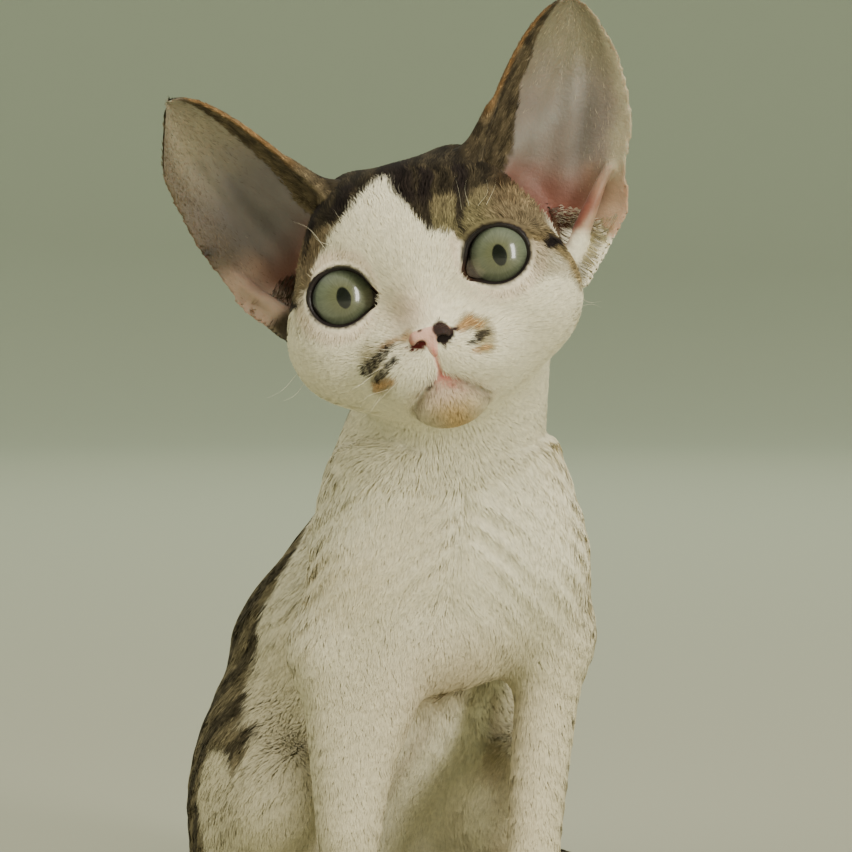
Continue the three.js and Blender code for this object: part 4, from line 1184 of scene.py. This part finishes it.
def root_places(points, quads, normals, bare):
    """Random roots on the skin, as dense as each zone has them, with none where it is bare."""
    triangles = np.concatenate([quads[:, :3], quads[:, [0, 2, 3]]])
    a, b, c = (points[triangles[:, n]] for n in range(3))
    area = lengths(np.cross(b - a, c - a)) / 2
    middles = (a + b + c) / 3
    zone = zones_of(middles)
    density = np.array([kind[-1] for kind in COATS.values()], float)[zone]
    local = to_head(middles)
    _, share, t, _, left, _ = ear_state(middles)
    # Fine hairs inside the ears: most to the tip and the rims
    fuzzy = zone == ON_FUZZ
    edge = smooth(np.abs(share + 0.06), 0.5, 0.9)
    fuzz = 0.1 + 5 * np.maximum(smooth(t, 20, 36), 0.8 * edge * smooth(t, 0, 12))
    density *= (bare[triangles].max(1) < 0.4) | fuzzy
    density[fuzzy] *= fuzz[fuzzy]
    density *= middles[:, 2] > 0.4
    density *= ~in_lids(local)
    density *= ~((cup_hollow(folded(local.T), left) < 0.8) & (t < 8) & (np.abs(share - 0.1) < 0.5))
    density *= NOSE_SOLID(local.T) > 0.25
    density *= (blob_mask(local[:, 0], local[:, 2]) < 0.2) | (local[:, 1] > -4)
    facing_down = np.cross(b - a, c - a)[:, 2] < -1.6 * area
    density[facing_down & (middles[:, 2] < 22)] *= 0.35
    expected = area * density
    count = np.floor(expected + rng.random(len(expected))).astype(int)
    chosen = np.repeat(np.arange(len(triangles)), count)
    u, v = rng.random(len(chosen)), rng.random(len(chosen))
    over = u + v > 1
    u[over], v[over] = 1 - u[over], 1 - v[over]
    weights = np.stack([1 - u - v, u, v], axis=1)
    corners = triangles[chosen]
    roots = np.einsum("ni,nij->nj", weights, points[corners])
    return roots, unit(np.einsum("ni,nij->nj", weights, normals[corners])), zone[chosen]


def ear_lie(roots, normals):
    """The way hair lies on the ears: up to the tip, along the rims where it stands near one."""
    _, share, t, _, left, _ = ear_state(roots)
    half, middle, _ = ear_shape(t)
    later_half, later_middle, _ = ear_shape(t + 0.5)
    aside = np.clip((later_middle - middle + share * (later_half - half)) / 0.5, -2, 2)
    up = (EAR_WAY + aside[:, None] * EAR_ACROSS) * np.where(left[:, None], 1, (-1, 1, 1))
    return flat_on(up @ HEAD_TURN.T, normals)


def tufts(roots, normals, kind, comb):
    """The paths of tufts: an array of (tuft, place along it, xyz), with the sides that they spread to and the
    coat's own slope along them."""
    long, _, deep, segments, spread, curve, _ = kind
    count = len(roots)
    lie = ear_lie(roots, normals) if comb is None else lie_of(roots, normals)
    coherent = np.stack([noise(roots, 3.0, 40 + k) for k in range(3)], axis=1)
    lie = flat_on(lie + 0.55 * spread * coherent + spread * rng.normal(0, 0.6, (count, 3)), normals)
    length = long * rng.uniform(0.7, 1.2, count)
    length *= mix(0.5, 1, smooth(lengths(to_head(roots) - NOSE_TIP), 3, 14))
    mirrored = (roots + (SWAY, 0, 0)) * np.where(roots[:, :1] < -SWAY, (-1, 1, 1), 1)
    length *= mix(0.4, 1, smooth(lengths(mirrored - LEG_HOLLOW), 7, 13))
    if comb is None:
        length *= mix(0.6, 1, smooth(1 - np.abs(ear_state(roots)[1]), 0.03, 0.25))
    lift = deep * rng.uniform(0.88, 1.05, count)
    depth = coat_depth(roots)
    path = np.empty((count, segments + 1, 3))
    path[:, 0] = roots - 0.25 * normals
    ups = np.repeat(normals[:, None], segments + 1, axis=1)
    at, up = roots.copy(), normals.copy()
    phase = 2 * math.pi * roots[:, 2] / 5.2 + 2.5 * noise(roots, 8, 24)
    for n in range(1, segments + 1):
        share = n / segments
        aside = np.cross(lie, up) * (curve * np.cos(phase + share * length * 1.2))[:, None]
        at = at + flat_on(lie + aside, up) * (length / segments)[:, None]
        height = lift * min(1, 0.35 + share * 0.75)
        if comb is None:
            at = at + up * (height * 0.6 / segments)[:, None]
        else:
            up = unit(unit(comb.slope(at)) + 0.6 * up)
            at = at - up * np.clip(comb(at) + depth - height, -1.2, 1.2)[:, None]
            ups[:, n] = up
        lie = flat_on(lie, up)
        path[:, n] = at
    path[..., 2] = np.maximum(path[..., 2], 0.1)
    return path, flat_on(np.cross(lie, normals), normals), ups


def unwrapped(roots, zone):
    """Each root's place on an unwrap of the skin: round the zone's middle line and along it, from 0 to 1."""
    local = to_head(roots)
    along = roots[:, 2]
    if zone in (ON_FACE, ON_CROWN, ON_EARS, ON_FUZZ):
        turn = np.arctan2(local[:, 0], local[:, 1] - 8) / (2 * math.pi) + 0.5
        along = local[:, 2]
    elif zone == ON_TAIL:
        along = tail_share(roots)
        out = roots - TAIL[(along * TAIL_STEPS).round().astype(int)]
        flat = lengths(out[:, :2]) * np.sign(out[:, 0] + out[:, 1])
        turn = np.arctan2(out[:, 2], flat) / (2 * math.pi) + 0.5
    elif zone == ON_TRUNK:
        turn = np.arctan2(roots[:, 0], roots[:, 1] - 12) / (2 * math.pi) + 0.5
    else:
        middle = np.where(roots[:, 1] < -18, -34, 15)
        turn = np.arctan2(np.abs(roots[:, 0]) - 20, roots[:, 1] - middle) / (4 * math.pi) + 0.25
        turn = turn + 0.5 * (roots[:, 0] > 0)
    low, high = along.min(), along.max()
    return np.stack([turn, (along - low) / max(high - low, 1e-6)], axis=1) * 0.99 + 0.003


def tuft_mesh(name, path, across, ups, widths, colours, tips, places):
    """One coat piece from the paths of its tufts: two points at each step and one at the tip. They shade
    mostly as the coat's own slope, with a little of each tuft's."""
    PATCH = 0.003
    OWN = 0.22
    count, steps = path.shape[0], path.shape[1] - 1
    profile = np.interp(np.arange(steps) / steps, (0, 0.35, 1), (0.8, 1.0, 0.35))
    sides = across[:, None] * (widths[:, None] * profile)[..., None] / 2
    pairs = np.stack([path[:, :-1] - sides, path[:, :-1] + sides], 2).reshape(count, -1, 3)
    points = np.concatenate([pairs, path[:, -1:]], axis=1)
    base = np.arange(count)[:, None] * (2 * steps + 1)
    quads = np.concatenate([base + 2 * n + np.array((0, 1, 3, 2)) for n in range(steps - 1)])
    ends = base + np.array((2 * steps - 2, 2 * steps - 1, 2 * steps))
    piece = new_piece(name, points.reshape(-1, 3), [quads, ends], FUR)
    facing = unit(np.cross(across[:, None], np.gradient(path, axis=1)))
    facing *= np.where(np.einsum("ijk,ijk->ij", facing, ups) < 0, -1, 1)[..., None]
    soft = unit(ups + OWN * facing)
    soft = np.concatenate([np.repeat(soft[:, :-1], 2, axis=1), soft[:, -1:]], axis=1).reshape(-1, 3)
    piece.data.normals_split_custom_set_from_vertices(soft)
    along = np.concatenate([np.repeat(np.arange(steps) / steps, 2), [1]])
    shade = colours[:, None] * (1 - along)[None, :, None] + tips[:, None] * along[None, :, None]
    paint(piece, shade.reshape(-1, 3))
    patch = np.stack([np.concatenate([np.tile((0, 1), steps), [0.5]]), along], axis=1) * PATCH
    uv = (places[:, None] + patch).reshape(-1, 2)
    layer = piece.data.uv_layers.new(name="OFBake")
    layer.data.foreach_set("uv", uv[np.concatenate([quads.ravel(), ends.ravel()])].astype(np.float32).ravel())


def combed(p):
    return animal(p) - relief(p.T).astype(np.float32)


def make_coat(points, quads, normals, bare):
    MOST = 180000  # triangles in one piece
    comb = Volume(combed, (-62, -80, -4), (72, 94, 196), COMB_CELL)
    roots, ways, zone = root_places(points, quads, normals, bare)
    for number, (name, kind) in enumerate(COATS.items()):
        here = np.flatnonzero(zone == number)
        if not len(here):
            continue
        places = unwrapped(roots[here], number)
        order = np.argsort(places[:, 1], kind="stable")
        here, places = here[order], places[order]
        parts = math.ceil(len(here) * (2 * kind[3] - 1) / MOST)
        for part, chosen in enumerate(np.array_split(np.arange(len(here)), parts)):
            own, place = here[chosen], places[chosen]
            v = place[:, 1]
            place = np.stack([place[:, 0], (v - v.min()) / max(v.max() - v.min(), 1e-6) * 0.99], axis=1)
            path, across, ups = tufts(roots[own], ways[own], kind, None if name in ("EARS", "FUZZ") else comb)
            across = unit(across + ways[own] * rng.uniform(-0.5, 0.5, len(own))[:, None])
            widths = kind[1] * rng.uniform(0.7, 1.3, len(own))
            colours = markings_and_painted_light(roots[own])
            if name == "FUZZ":
                colours = mix(colours, np.where((to_head(roots[own])[:, 0] > 0)[:, None], *RIM), 0.3)
            pale = smooth(colours.mean(1), 0.15, 0.5)
            factor = np.exp(rng.normal(0, 1, len(own)) * mix(0.4, 0.04, pale) * 0.8)
            colours = colours * np.clip(factor, 0.45, 2.2)[:, None]
            tips = np.clip(colours * mix(1.25, 1.02, pale)[:, None], 0, 0.93)
            piece_name = "coat_" + name.lower() + ("_" + str(part + 1) if parts > 1 else "")
            tuft_mesh(piece_name, path, across, ups, widths, np.clip(colours, 0, 0.92), tips, place)


# The camera stands where the photograph's did: its angle round the cat and above the floor, its distance, and
# where the middle of its picture passes the point between the eyes
CAMERA_TURN, CAMERA_RISE, CAMERA_AWAY = math.radians(-19), math.radians(4), 800
PICTURE = 852
PICTURE_SCALE = 4.83  # pixels for each millimetre at the eyes
EYES_AT = (421.5, 276.5)  # the pixel of the point between the eyes
LENS_WIDTH = 36
RIGHT = np.array((math.cos(CAMERA_TURN), math.sin(CAMERA_TURN), 0))
LEVEL = math.cos(CAMERA_RISE)
BACK = np.array((math.sin(CAMERA_TURN) * LEVEL, -math.cos(CAMERA_TURN) * LEVEL, math.sin(CAMERA_RISE)))
ACROSS, DOWN = ((at - PICTURE / 2) / PICTURE_SCALE for at in EYES_AT)
CAMERA_PLACE = HEAD_PLACE - RIGHT * ACROSS + np.cross(BACK, RIGHT) * DOWN + BACK * CAMERA_AWAY

# Eyes, lids, nose, whiskers and claws
IRIS = 6.2
PUPIL = (1.5, 2.3)
IRIS_STOPS = (0.0, 0.42, 0.75, 0.9, 0.97, 1.0)
IRIS_COLOURS = srgb((92, 92, 62), (96, 98, 70), (100, 106, 84), (92, 98, 80), (46, 50, 42), (14, 13, 12))


def globe(radius, rings, sides):
    """Points and faces of a ball of rings about the z axis, closed at its poles."""
    around = np.linspace(0, 2 * math.pi, sides, endpoint=False)
    points = [(0, 0, radius)]
    for tip in np.linspace(0, math.pi, rings + 1)[1:-1]:
        out, up = radius * math.sin(tip), radius * math.cos(tip)
        points += [(out * math.cos(a), out * math.sin(a), up) for a in around]
    points.append((0, 0, -radius))
    first = 1 + np.arange(sides)
    after = 1 + (np.arange(sides) + 1) % sides
    low = (rings - 2) * sides
    top, bottom = 0 * first, 0 * first + len(points) - 1
    caps = [np.stack([top, first, after], 1), np.stack([bottom, after + low, first + low], 1)]
    return np.array(points), [grid_faces(rings - 1, sides) + 1, np.concatenate(caps)]


def eye_material():
    """A grey-green iris round an upright pupil, dark at its edge, under a clear wet coat."""
    material = new_material("eye", 0.25, 0.5, coat=1.0)
    place = node(material, "Attribute", {}, attribute_name="iris_place")["Vector"]
    parts = node(material, "SeparateXYZ", {"Vector": place})
    number = lambda operation, a, b=0.0: node(material, "Math", {0: a, 1: b}, operation=operation)[0]
    flat = node(material, "CombineXYZ", {"X": parts["X"], "Y": parts["Y"]})[0]
    radius = node(material, "VectorMath", {0: flat}, operation="LENGTH")["Value"]
    angle = number("ARCTAN2", parts["Y"], parts["X"])
    round_x, round_y = (number("MULTIPLY", number(kind, angle), 14.0) for kind in ("COSINE", "SINE"))
    spot = node(material, "CombineXYZ", {"X": round_x, "Y": round_y, "Z": number("MULTIPLY", radius, 0.7)})[0]
    grain = {"Vector": spot, "Scale": 1.0, "Detail": 5.0, "Roughness": 0.6}
    streaks = node(material, "TexNoise", grain)["Fac"]
    ramp = material.node_tree.nodes.new("ShaderNodeValToRGB")
    material.node_tree.links.new(number("DIVIDE", radius, IRIS), ramp.inputs["Fac"])
    elements = ramp.color_ramp.elements
    while len(elements) < len(IRIS_STOPS):
        elements.new(0.5)
    for element, position, colour in zip(elements, IRIS_STOPS, IRIS_COLOURS):
        element.position = position
        element.color = (*colour, 1)
    tone = node(material, "MapRange", {"Value": streaks, 1: 0.3, 2: 0.7, 3: 0.82, 4: 1.16})["Result"]
    tinted = {0: ramp.outputs["Color"], "Scale": tone}
    iris = node(material, "VectorMath", tinted, operation="SCALE")["Vector"]
    across = number("DIVIDE", parts["X"], PUPIL[0])
    bent = number("POWER", number("ABSOLUTE", number("DIVIDE", parts["Y"], PUPIL[1])), 1.7)
    oval = number("SQRT", number("ADD", number("MULTIPLY", across, across), bent))
    dark = node(material, "MapRange", {"Value": oval, 1: 0.93, 2: 1.06, 3: 0.0, 4: 1.0})["Result"]
    colour = node(material, "VectorMath", {0: iris, "Scale": dark}, operation="SCALE")["Vector"]
    material.node_tree.links.new(colour, shader_of(material).inputs["Base Color"])
    return material


def make_eyes():
    material = eye_material()
    points, faces = globe(EYEBALL, 48, 96)
    for side, name in ((1, "left"), (-1, "right")):
        middle = from_head(np.array(EYE) * (side, 1, 1))
        gaze = unit(CAMERA_PLACE - middle)
        up = flat_on((HEAD_TURN @ (0, 0, 1))[None], gaze[None])[0]
        basis = np.stack([np.cross(up, gaze), up, gaze])
        piece = new_piece("eyeball_" + name, points @ basis + middle, faces, material)
        layer = piece.data.attributes.new("iris_place", "FLOAT_VECTOR", "POINT")
        layer.data.foreach_set("vector", points.astype(np.float32).ravel())
        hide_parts("eye_" + name)


def make_lids():
    """The dark wet edges of the lids, rounded bands on the eyeballs drawn out to a corner beside the nose."""
    ROUND = 120
    # Places across the band: a share of the opening, and the height over the eyeball's middle
    SECTION = ((0.89, -0.1), (0.93, 0.22), (0.98, 0.6), (1.03, 0.8))
    SECTION += ((1.09, 0.7), (1.13, 0.2), (1.06, -0.5), (0.96, -0.6))
    material = varied(new_material("lid_rim", 0.45, 0.35, coat=0.1), 0.001, 0.8, 1.2, 0.3, 0.0004)
    angle = np.linspace(0, 2 * math.pi, ROUND, endpoint=False)
    reach = lid_reach(angle)
    rings = []
    for share, height in SECTION:
        x, z = np.cos(angle) * LID_WIDE * reach * share, np.sin(angle) * LID_HIGH * reach * share
        rings.append(np.stack([x, -np.sqrt(np.maximum((EYEBALL + height) ** 2 - x**2 - z**2, 1.0)), z], 1))
    points = np.stack(rings, 1).reshape(-1, 3)
    faces = grid_faces(ROUND, len(SECTION), closed=True)
    corner = np.maximum(0, np.cos(np.repeat(angle, len(SECTION)) - LID_CORNER_ANGLE)) ** 30
    outer = np.tile([share > 1.1 for share, _ in SECTION], ROUND)
    colours = layered(EYE_RIM, (PINK_SKIN * 0.7, np.maximum(0.35 * corner, 0.25 * outer)))
    for side, name in ((1, "left"), (-1, "right")):
        place = from_head((points + EYE) * (side, 1, 1))
        paint(new_piece("lid_rim_" + name, place, [faces[:, ::side]], material), colours)


def make_nose():
    nostril = melt(
        0.5,
        ball(shifted(NOSE_TIP, 2.3, -1.1, -0.4), (1.15, 1.1, 0.75)),
        rod(shifted(NOSE_TIP, 2.6, -0.7, -0.5), shifted(NOSE_TIP, 4.5, 1.1, -1.0), 0.55, 0.35),
    )
    crease = rod(shifted(NOSE_TIP, 0, -1.6, 1.4), shifted(NOSE_TIP, 0, -1.3, -3.4), 0.16, 0.3)
    field = press(0.3, press(0.35, NOSE_SOLID, both(nostril)), crease)
    points, quads = surface(field, shifted(NOSE_TIP, -7, -5, -7), shifted(NOSE_TIP, 7, 6, 6), NOSE_CELL)
    points = evened(points, quads, field, 2)
    material = new_material("nose_leather", 0.55, 0.35, subsurface=0.25)
    varied(material, 0.0012, 0.92, 1.06, 0.6, 0.00035)
    piece = new_piece("nose_leather", from_head(points), [quads], material)
    x, y, z = (points - NOSE_TIP).T
    # Painted shade along the nostrils' slits
    deep = stroke(np.abs(x), z, [(1.9, -0.4), (4.4, -1.0)], (1.5, 1.0), 0.35)
    colours = layered(
        NOSE_PINK,
        (NOSTRIL_SHADE, 0.9 * deep),
        (LIP_PINK, 0.6 * bump(x, 0.5) * smooth(-z, 0, 3)),
        (BLOB, blob_mask(points[:, 0], points[:, 2])),
        (NOSE_BROWN, 0.7 * smooth(-x, 3.0, 4.0) * (1 - deep)),
        (BLACK, 0.85 * stroke(x, z, [(-1.9, 2.3), (-1.5, 2.35)], (0.6, 0.6), 0.15)),
    )
    paint(piece, colours)
    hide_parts("nose")


def strands(name, paths, widths, material, colour, sides=5):
    """Tapered round hairs along paths: an array of (hair, place along it, xyz)."""
    count, steps = paths.shape[:2]
    ways = unit(np.gradient(paths, axis=1))
    first = unit(np.cross(ways, unit(np.array((0.3, 0.5, 0.81)))))
    second = np.cross(ways, first)
    taper = np.linspace(1, 0.12, steps)[None, :, None]
    rings = []
    for angle in 2 * math.pi * np.arange(sides) / sides:
        out = first * math.cos(angle) + second * math.sin(angle)
        rings.append(paths + out * taper * widths[:, None, None] / 2)
    points = np.stack(rings, 2).reshape(-1, 3)
    each = steps * sides
    base = np.arange(count)[:, None, None] * each
    ends = np.stack([np.arange(sides)[::-1], each - sides + np.arange(sides)])
    faces = [(base + grid_faces(steps, sides)).reshape(-1, 4), (base + ends).reshape(-1, sides)]
    paint(new_piece(name, points, faces, material), np.tile(colour, (len(points), 1)))


def make_whiskers():
    """Short bent whiskers on the pads and over the eyes, pale and fine."""
    STEPS = 9
    material = varied(new_material("whisker", 0.4, 0.4), 0.003, 0.95, 1.05, 0)
    starts, ways, sizes = [], [], []

    def whisker(side, start, way, shortest, longest):
        starts.append((side * start[0], start[1], start[2]))
        ways.append((side * way[0], way[1], way[2]))
        sizes.append(rng.uniform(shortest, longest))

    for side in (-1, 1):
        for row in range(3):
            for n in range(4):
                start = (7.6 + n * 1.8, -13.5 + n * 1.6, -14.2 - row * 2.6 - n * 0.5)
                whisker(side, start, (0.75 + 0.12 * n, -0.55 + 0.1 * n, 0.12 - 0.3 * row), 4, 10)
        for n in range(4):
            whisker(side, (12.5 + n * 2.2, -8.5, 10.5 + 0.4 * n), (0.1 + 0.22 * n, -0.55, 1.0), 6, 11)
        for n in range(2):
            whisker(side, (29 + n, 1.5, -12 - 3 * n), (1.0, -0.3, -0.4), 6, 10)
    starts = on_face(np.array(starts, float))
    ways = unit(np.array(ways, float))
    sizes = np.array(sizes)[:, None]
    along = np.linspace(0, 1, STEPS)
    bend = unit(np.cross(ways, rng.normal(0, 1, ways.shape)))
    curl = rng.uniform(0.08, 0.3, len(ways))[:, None] * sizes * np.sin(along * 2.4) ** 2
    local = starts[:, None] + ways[:, None] * (sizes * along)[..., None] + bend[:, None] * curl[..., None]
    widths = rng.uniform(0.06, 0.09, len(ways))
    strands("whiskers", from_head(local - ways[:, None] * 0.6), widths, material, WHITE)


def make_claws():
    """The tips of claws, nearly hidden between the hairs of the toes."""
    material = varied(new_material("claw_horn", 0.3, 0.5, subsurface=0.1), 0.002, 0.9, 1.05, 0)
    arc = np.linspace(0.2, 1.25, 6)
    paths = []
    for center, size in ((FOREPAW, 1), (HINDPAW, 0.98)):
        for side in (-1, 1):
            for across, out in TOES:
                tip = np.array(shifted(center, across * size, out * size, -1.4)) * (side, 1, 1) - (SWAY, 0, 0)
                bow = np.stack([0 * arc, -1.0 - 2.6 * np.sin(arc), -1.2 + 2.2 * np.cos(arc)], 1)
                paths.append(tip + bow)
    paths = np.array(paths)
    paths[..., 2] = np.maximum(paths[..., 2], 0.5)
    strands("claws", paths, np.full(len(paths), 1.1), material, CLAW_HORN, 8)


# The studio


def make_floor():
    """A pale round floor that curves up all round into a plain wall."""
    SIDES = 96
    FLAT, CURVE, TOP = 1.5, 0.8, 1.8
    turn = np.linspace(0, math.pi / 2, 13)
    out = np.concatenate([[0.01, 0.5], FLAT + CURVE * np.sin(turn), [FLAT + CURVE]])
    high = np.concatenate([[0, 0], CURVE * (1 - np.cos(turn)), [TOP]])
    around = np.linspace(0, 2 * math.pi, SIDES, endpoint=False)
    rings = [np.outer(out, np.cos(around)), np.outer(out, np.sin(around)), np.repeat(high[:, None], SIDES, 1)]
    points = np.stack(rings, -1).reshape(-1, 3)
    mesh = bpy.data.meshes.new("floor")
    mesh.from_pydata(points.tolist(), [], grid_faces(len(out), SIDES).tolist() + [list(range(SIDES))])
    mesh.shade_smooth()
    floor = bpy.data.objects.new("floor", mesh)
    bpy.context.scene.collection.objects.link(floor)
    material = bpy.data.materials.new("studio")
    material.use_nodes = True
    shader_of(material).inputs["Roughness"].default_value = 0.9
    place = node(material, "TexCoord", {})["Object"]
    away = node(material, "VectorMath", {0: place}, operation="LENGTH")["Value"]
    ramp = material.node_tree.nodes.new("ShaderNodeValToRGB")
    outwards = node(material, "MapRange", {"Value": away, 1: 0.3, 2: 2.0})[0]
    material.node_tree.links.new(outwards, ramp.inputs["Fac"])
    ramp.color_ramp.elements[0].color = (0.42, 0.42, 0.31, 1)
    ramp.color_ramp.elements[1].color = (0.46, 0.52, 0.38, 1)
    material.node_tree.links.new(ramp.outputs["Color"], shader_of(material).inputs["Base Color"])
    mesh.materials.append(material)
    floor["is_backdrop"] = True


def add_light(name, place, size, energy, colour, seen_in_eyes=False):
    data = bpy.data.lights.new(name, "AREA")
    data.shape = "RECTANGLE"
    data.size, data.size_y = size
    data.energy = energy
    data.color = colour
    light = bpy.data.objects.new(name, data)
    bpy.context.scene.collection.objects.link(light)
    light.location = place
    light.rotation_euler = (Vector((0, 0, 0.11)) - light.location).to_track_quat("-Z", "Y").to_euler()
    light.visible_glossy = seen_in_eyes


def make_lights():
    add_light("window", (0.42, -1.15, 0.36), (0.22, 0.95), 11, (1.0, 0.97, 0.9), seen_in_eyes=True)
    add_light("top", (0.05, -0.75, 1.35), (0.8, 0.6), 15.5, (1.0, 0.97, 0.9))
    add_light("fill", (-1.2, -0.5, 0.8), (0.9, 0.9), 7, (1.0, 0.95, 0.86))
    add_light("back", (0.5, 1.1, 1.0), (0.9, 0.7), 9, (0.96, 1.0, 0.94))
    world = bpy.data.worlds.new("studio")
    world.use_nodes = True
    world.node_tree.nodes["Background"].inputs["Color"].default_value = (0.8, 0.79, 0.7, 1)
    world.node_tree.nodes["Background"].inputs["Strength"].default_value = 0.54
    bpy.context.scene.world = world


def make_camera():
    data = bpy.data.cameras.new("camera")
    data.sensor_width = LENS_WIDTH
    data.lens = LENS_WIDTH * CAMERA_AWAY * PICTURE_SCALE / PICTURE
    camera = bpy.data.objects.new("camera", data)
    bpy.context.scene.collection.objects.link(camera)
    camera.location = (CAMERA_PLACE + SHIFT) * MM
    camera.rotation_euler = Vector(-BACK).to_track_quat("-Z", "Y").to_euler()
    bpy.context.scene.camera = camera


points, quads, normals, bare = make_skin()
make_coat(points, quads, normals, bare)
make_eyes()
make_lids()
make_nose()
make_whiskers()
make_claws()
make_floor()
make_lights()
make_camera()

boxes = {"cad": CAD_BOX, "visual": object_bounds()}
{name: [[float(v) for v in corner] for corner in box] for name, box in boxes.items()}
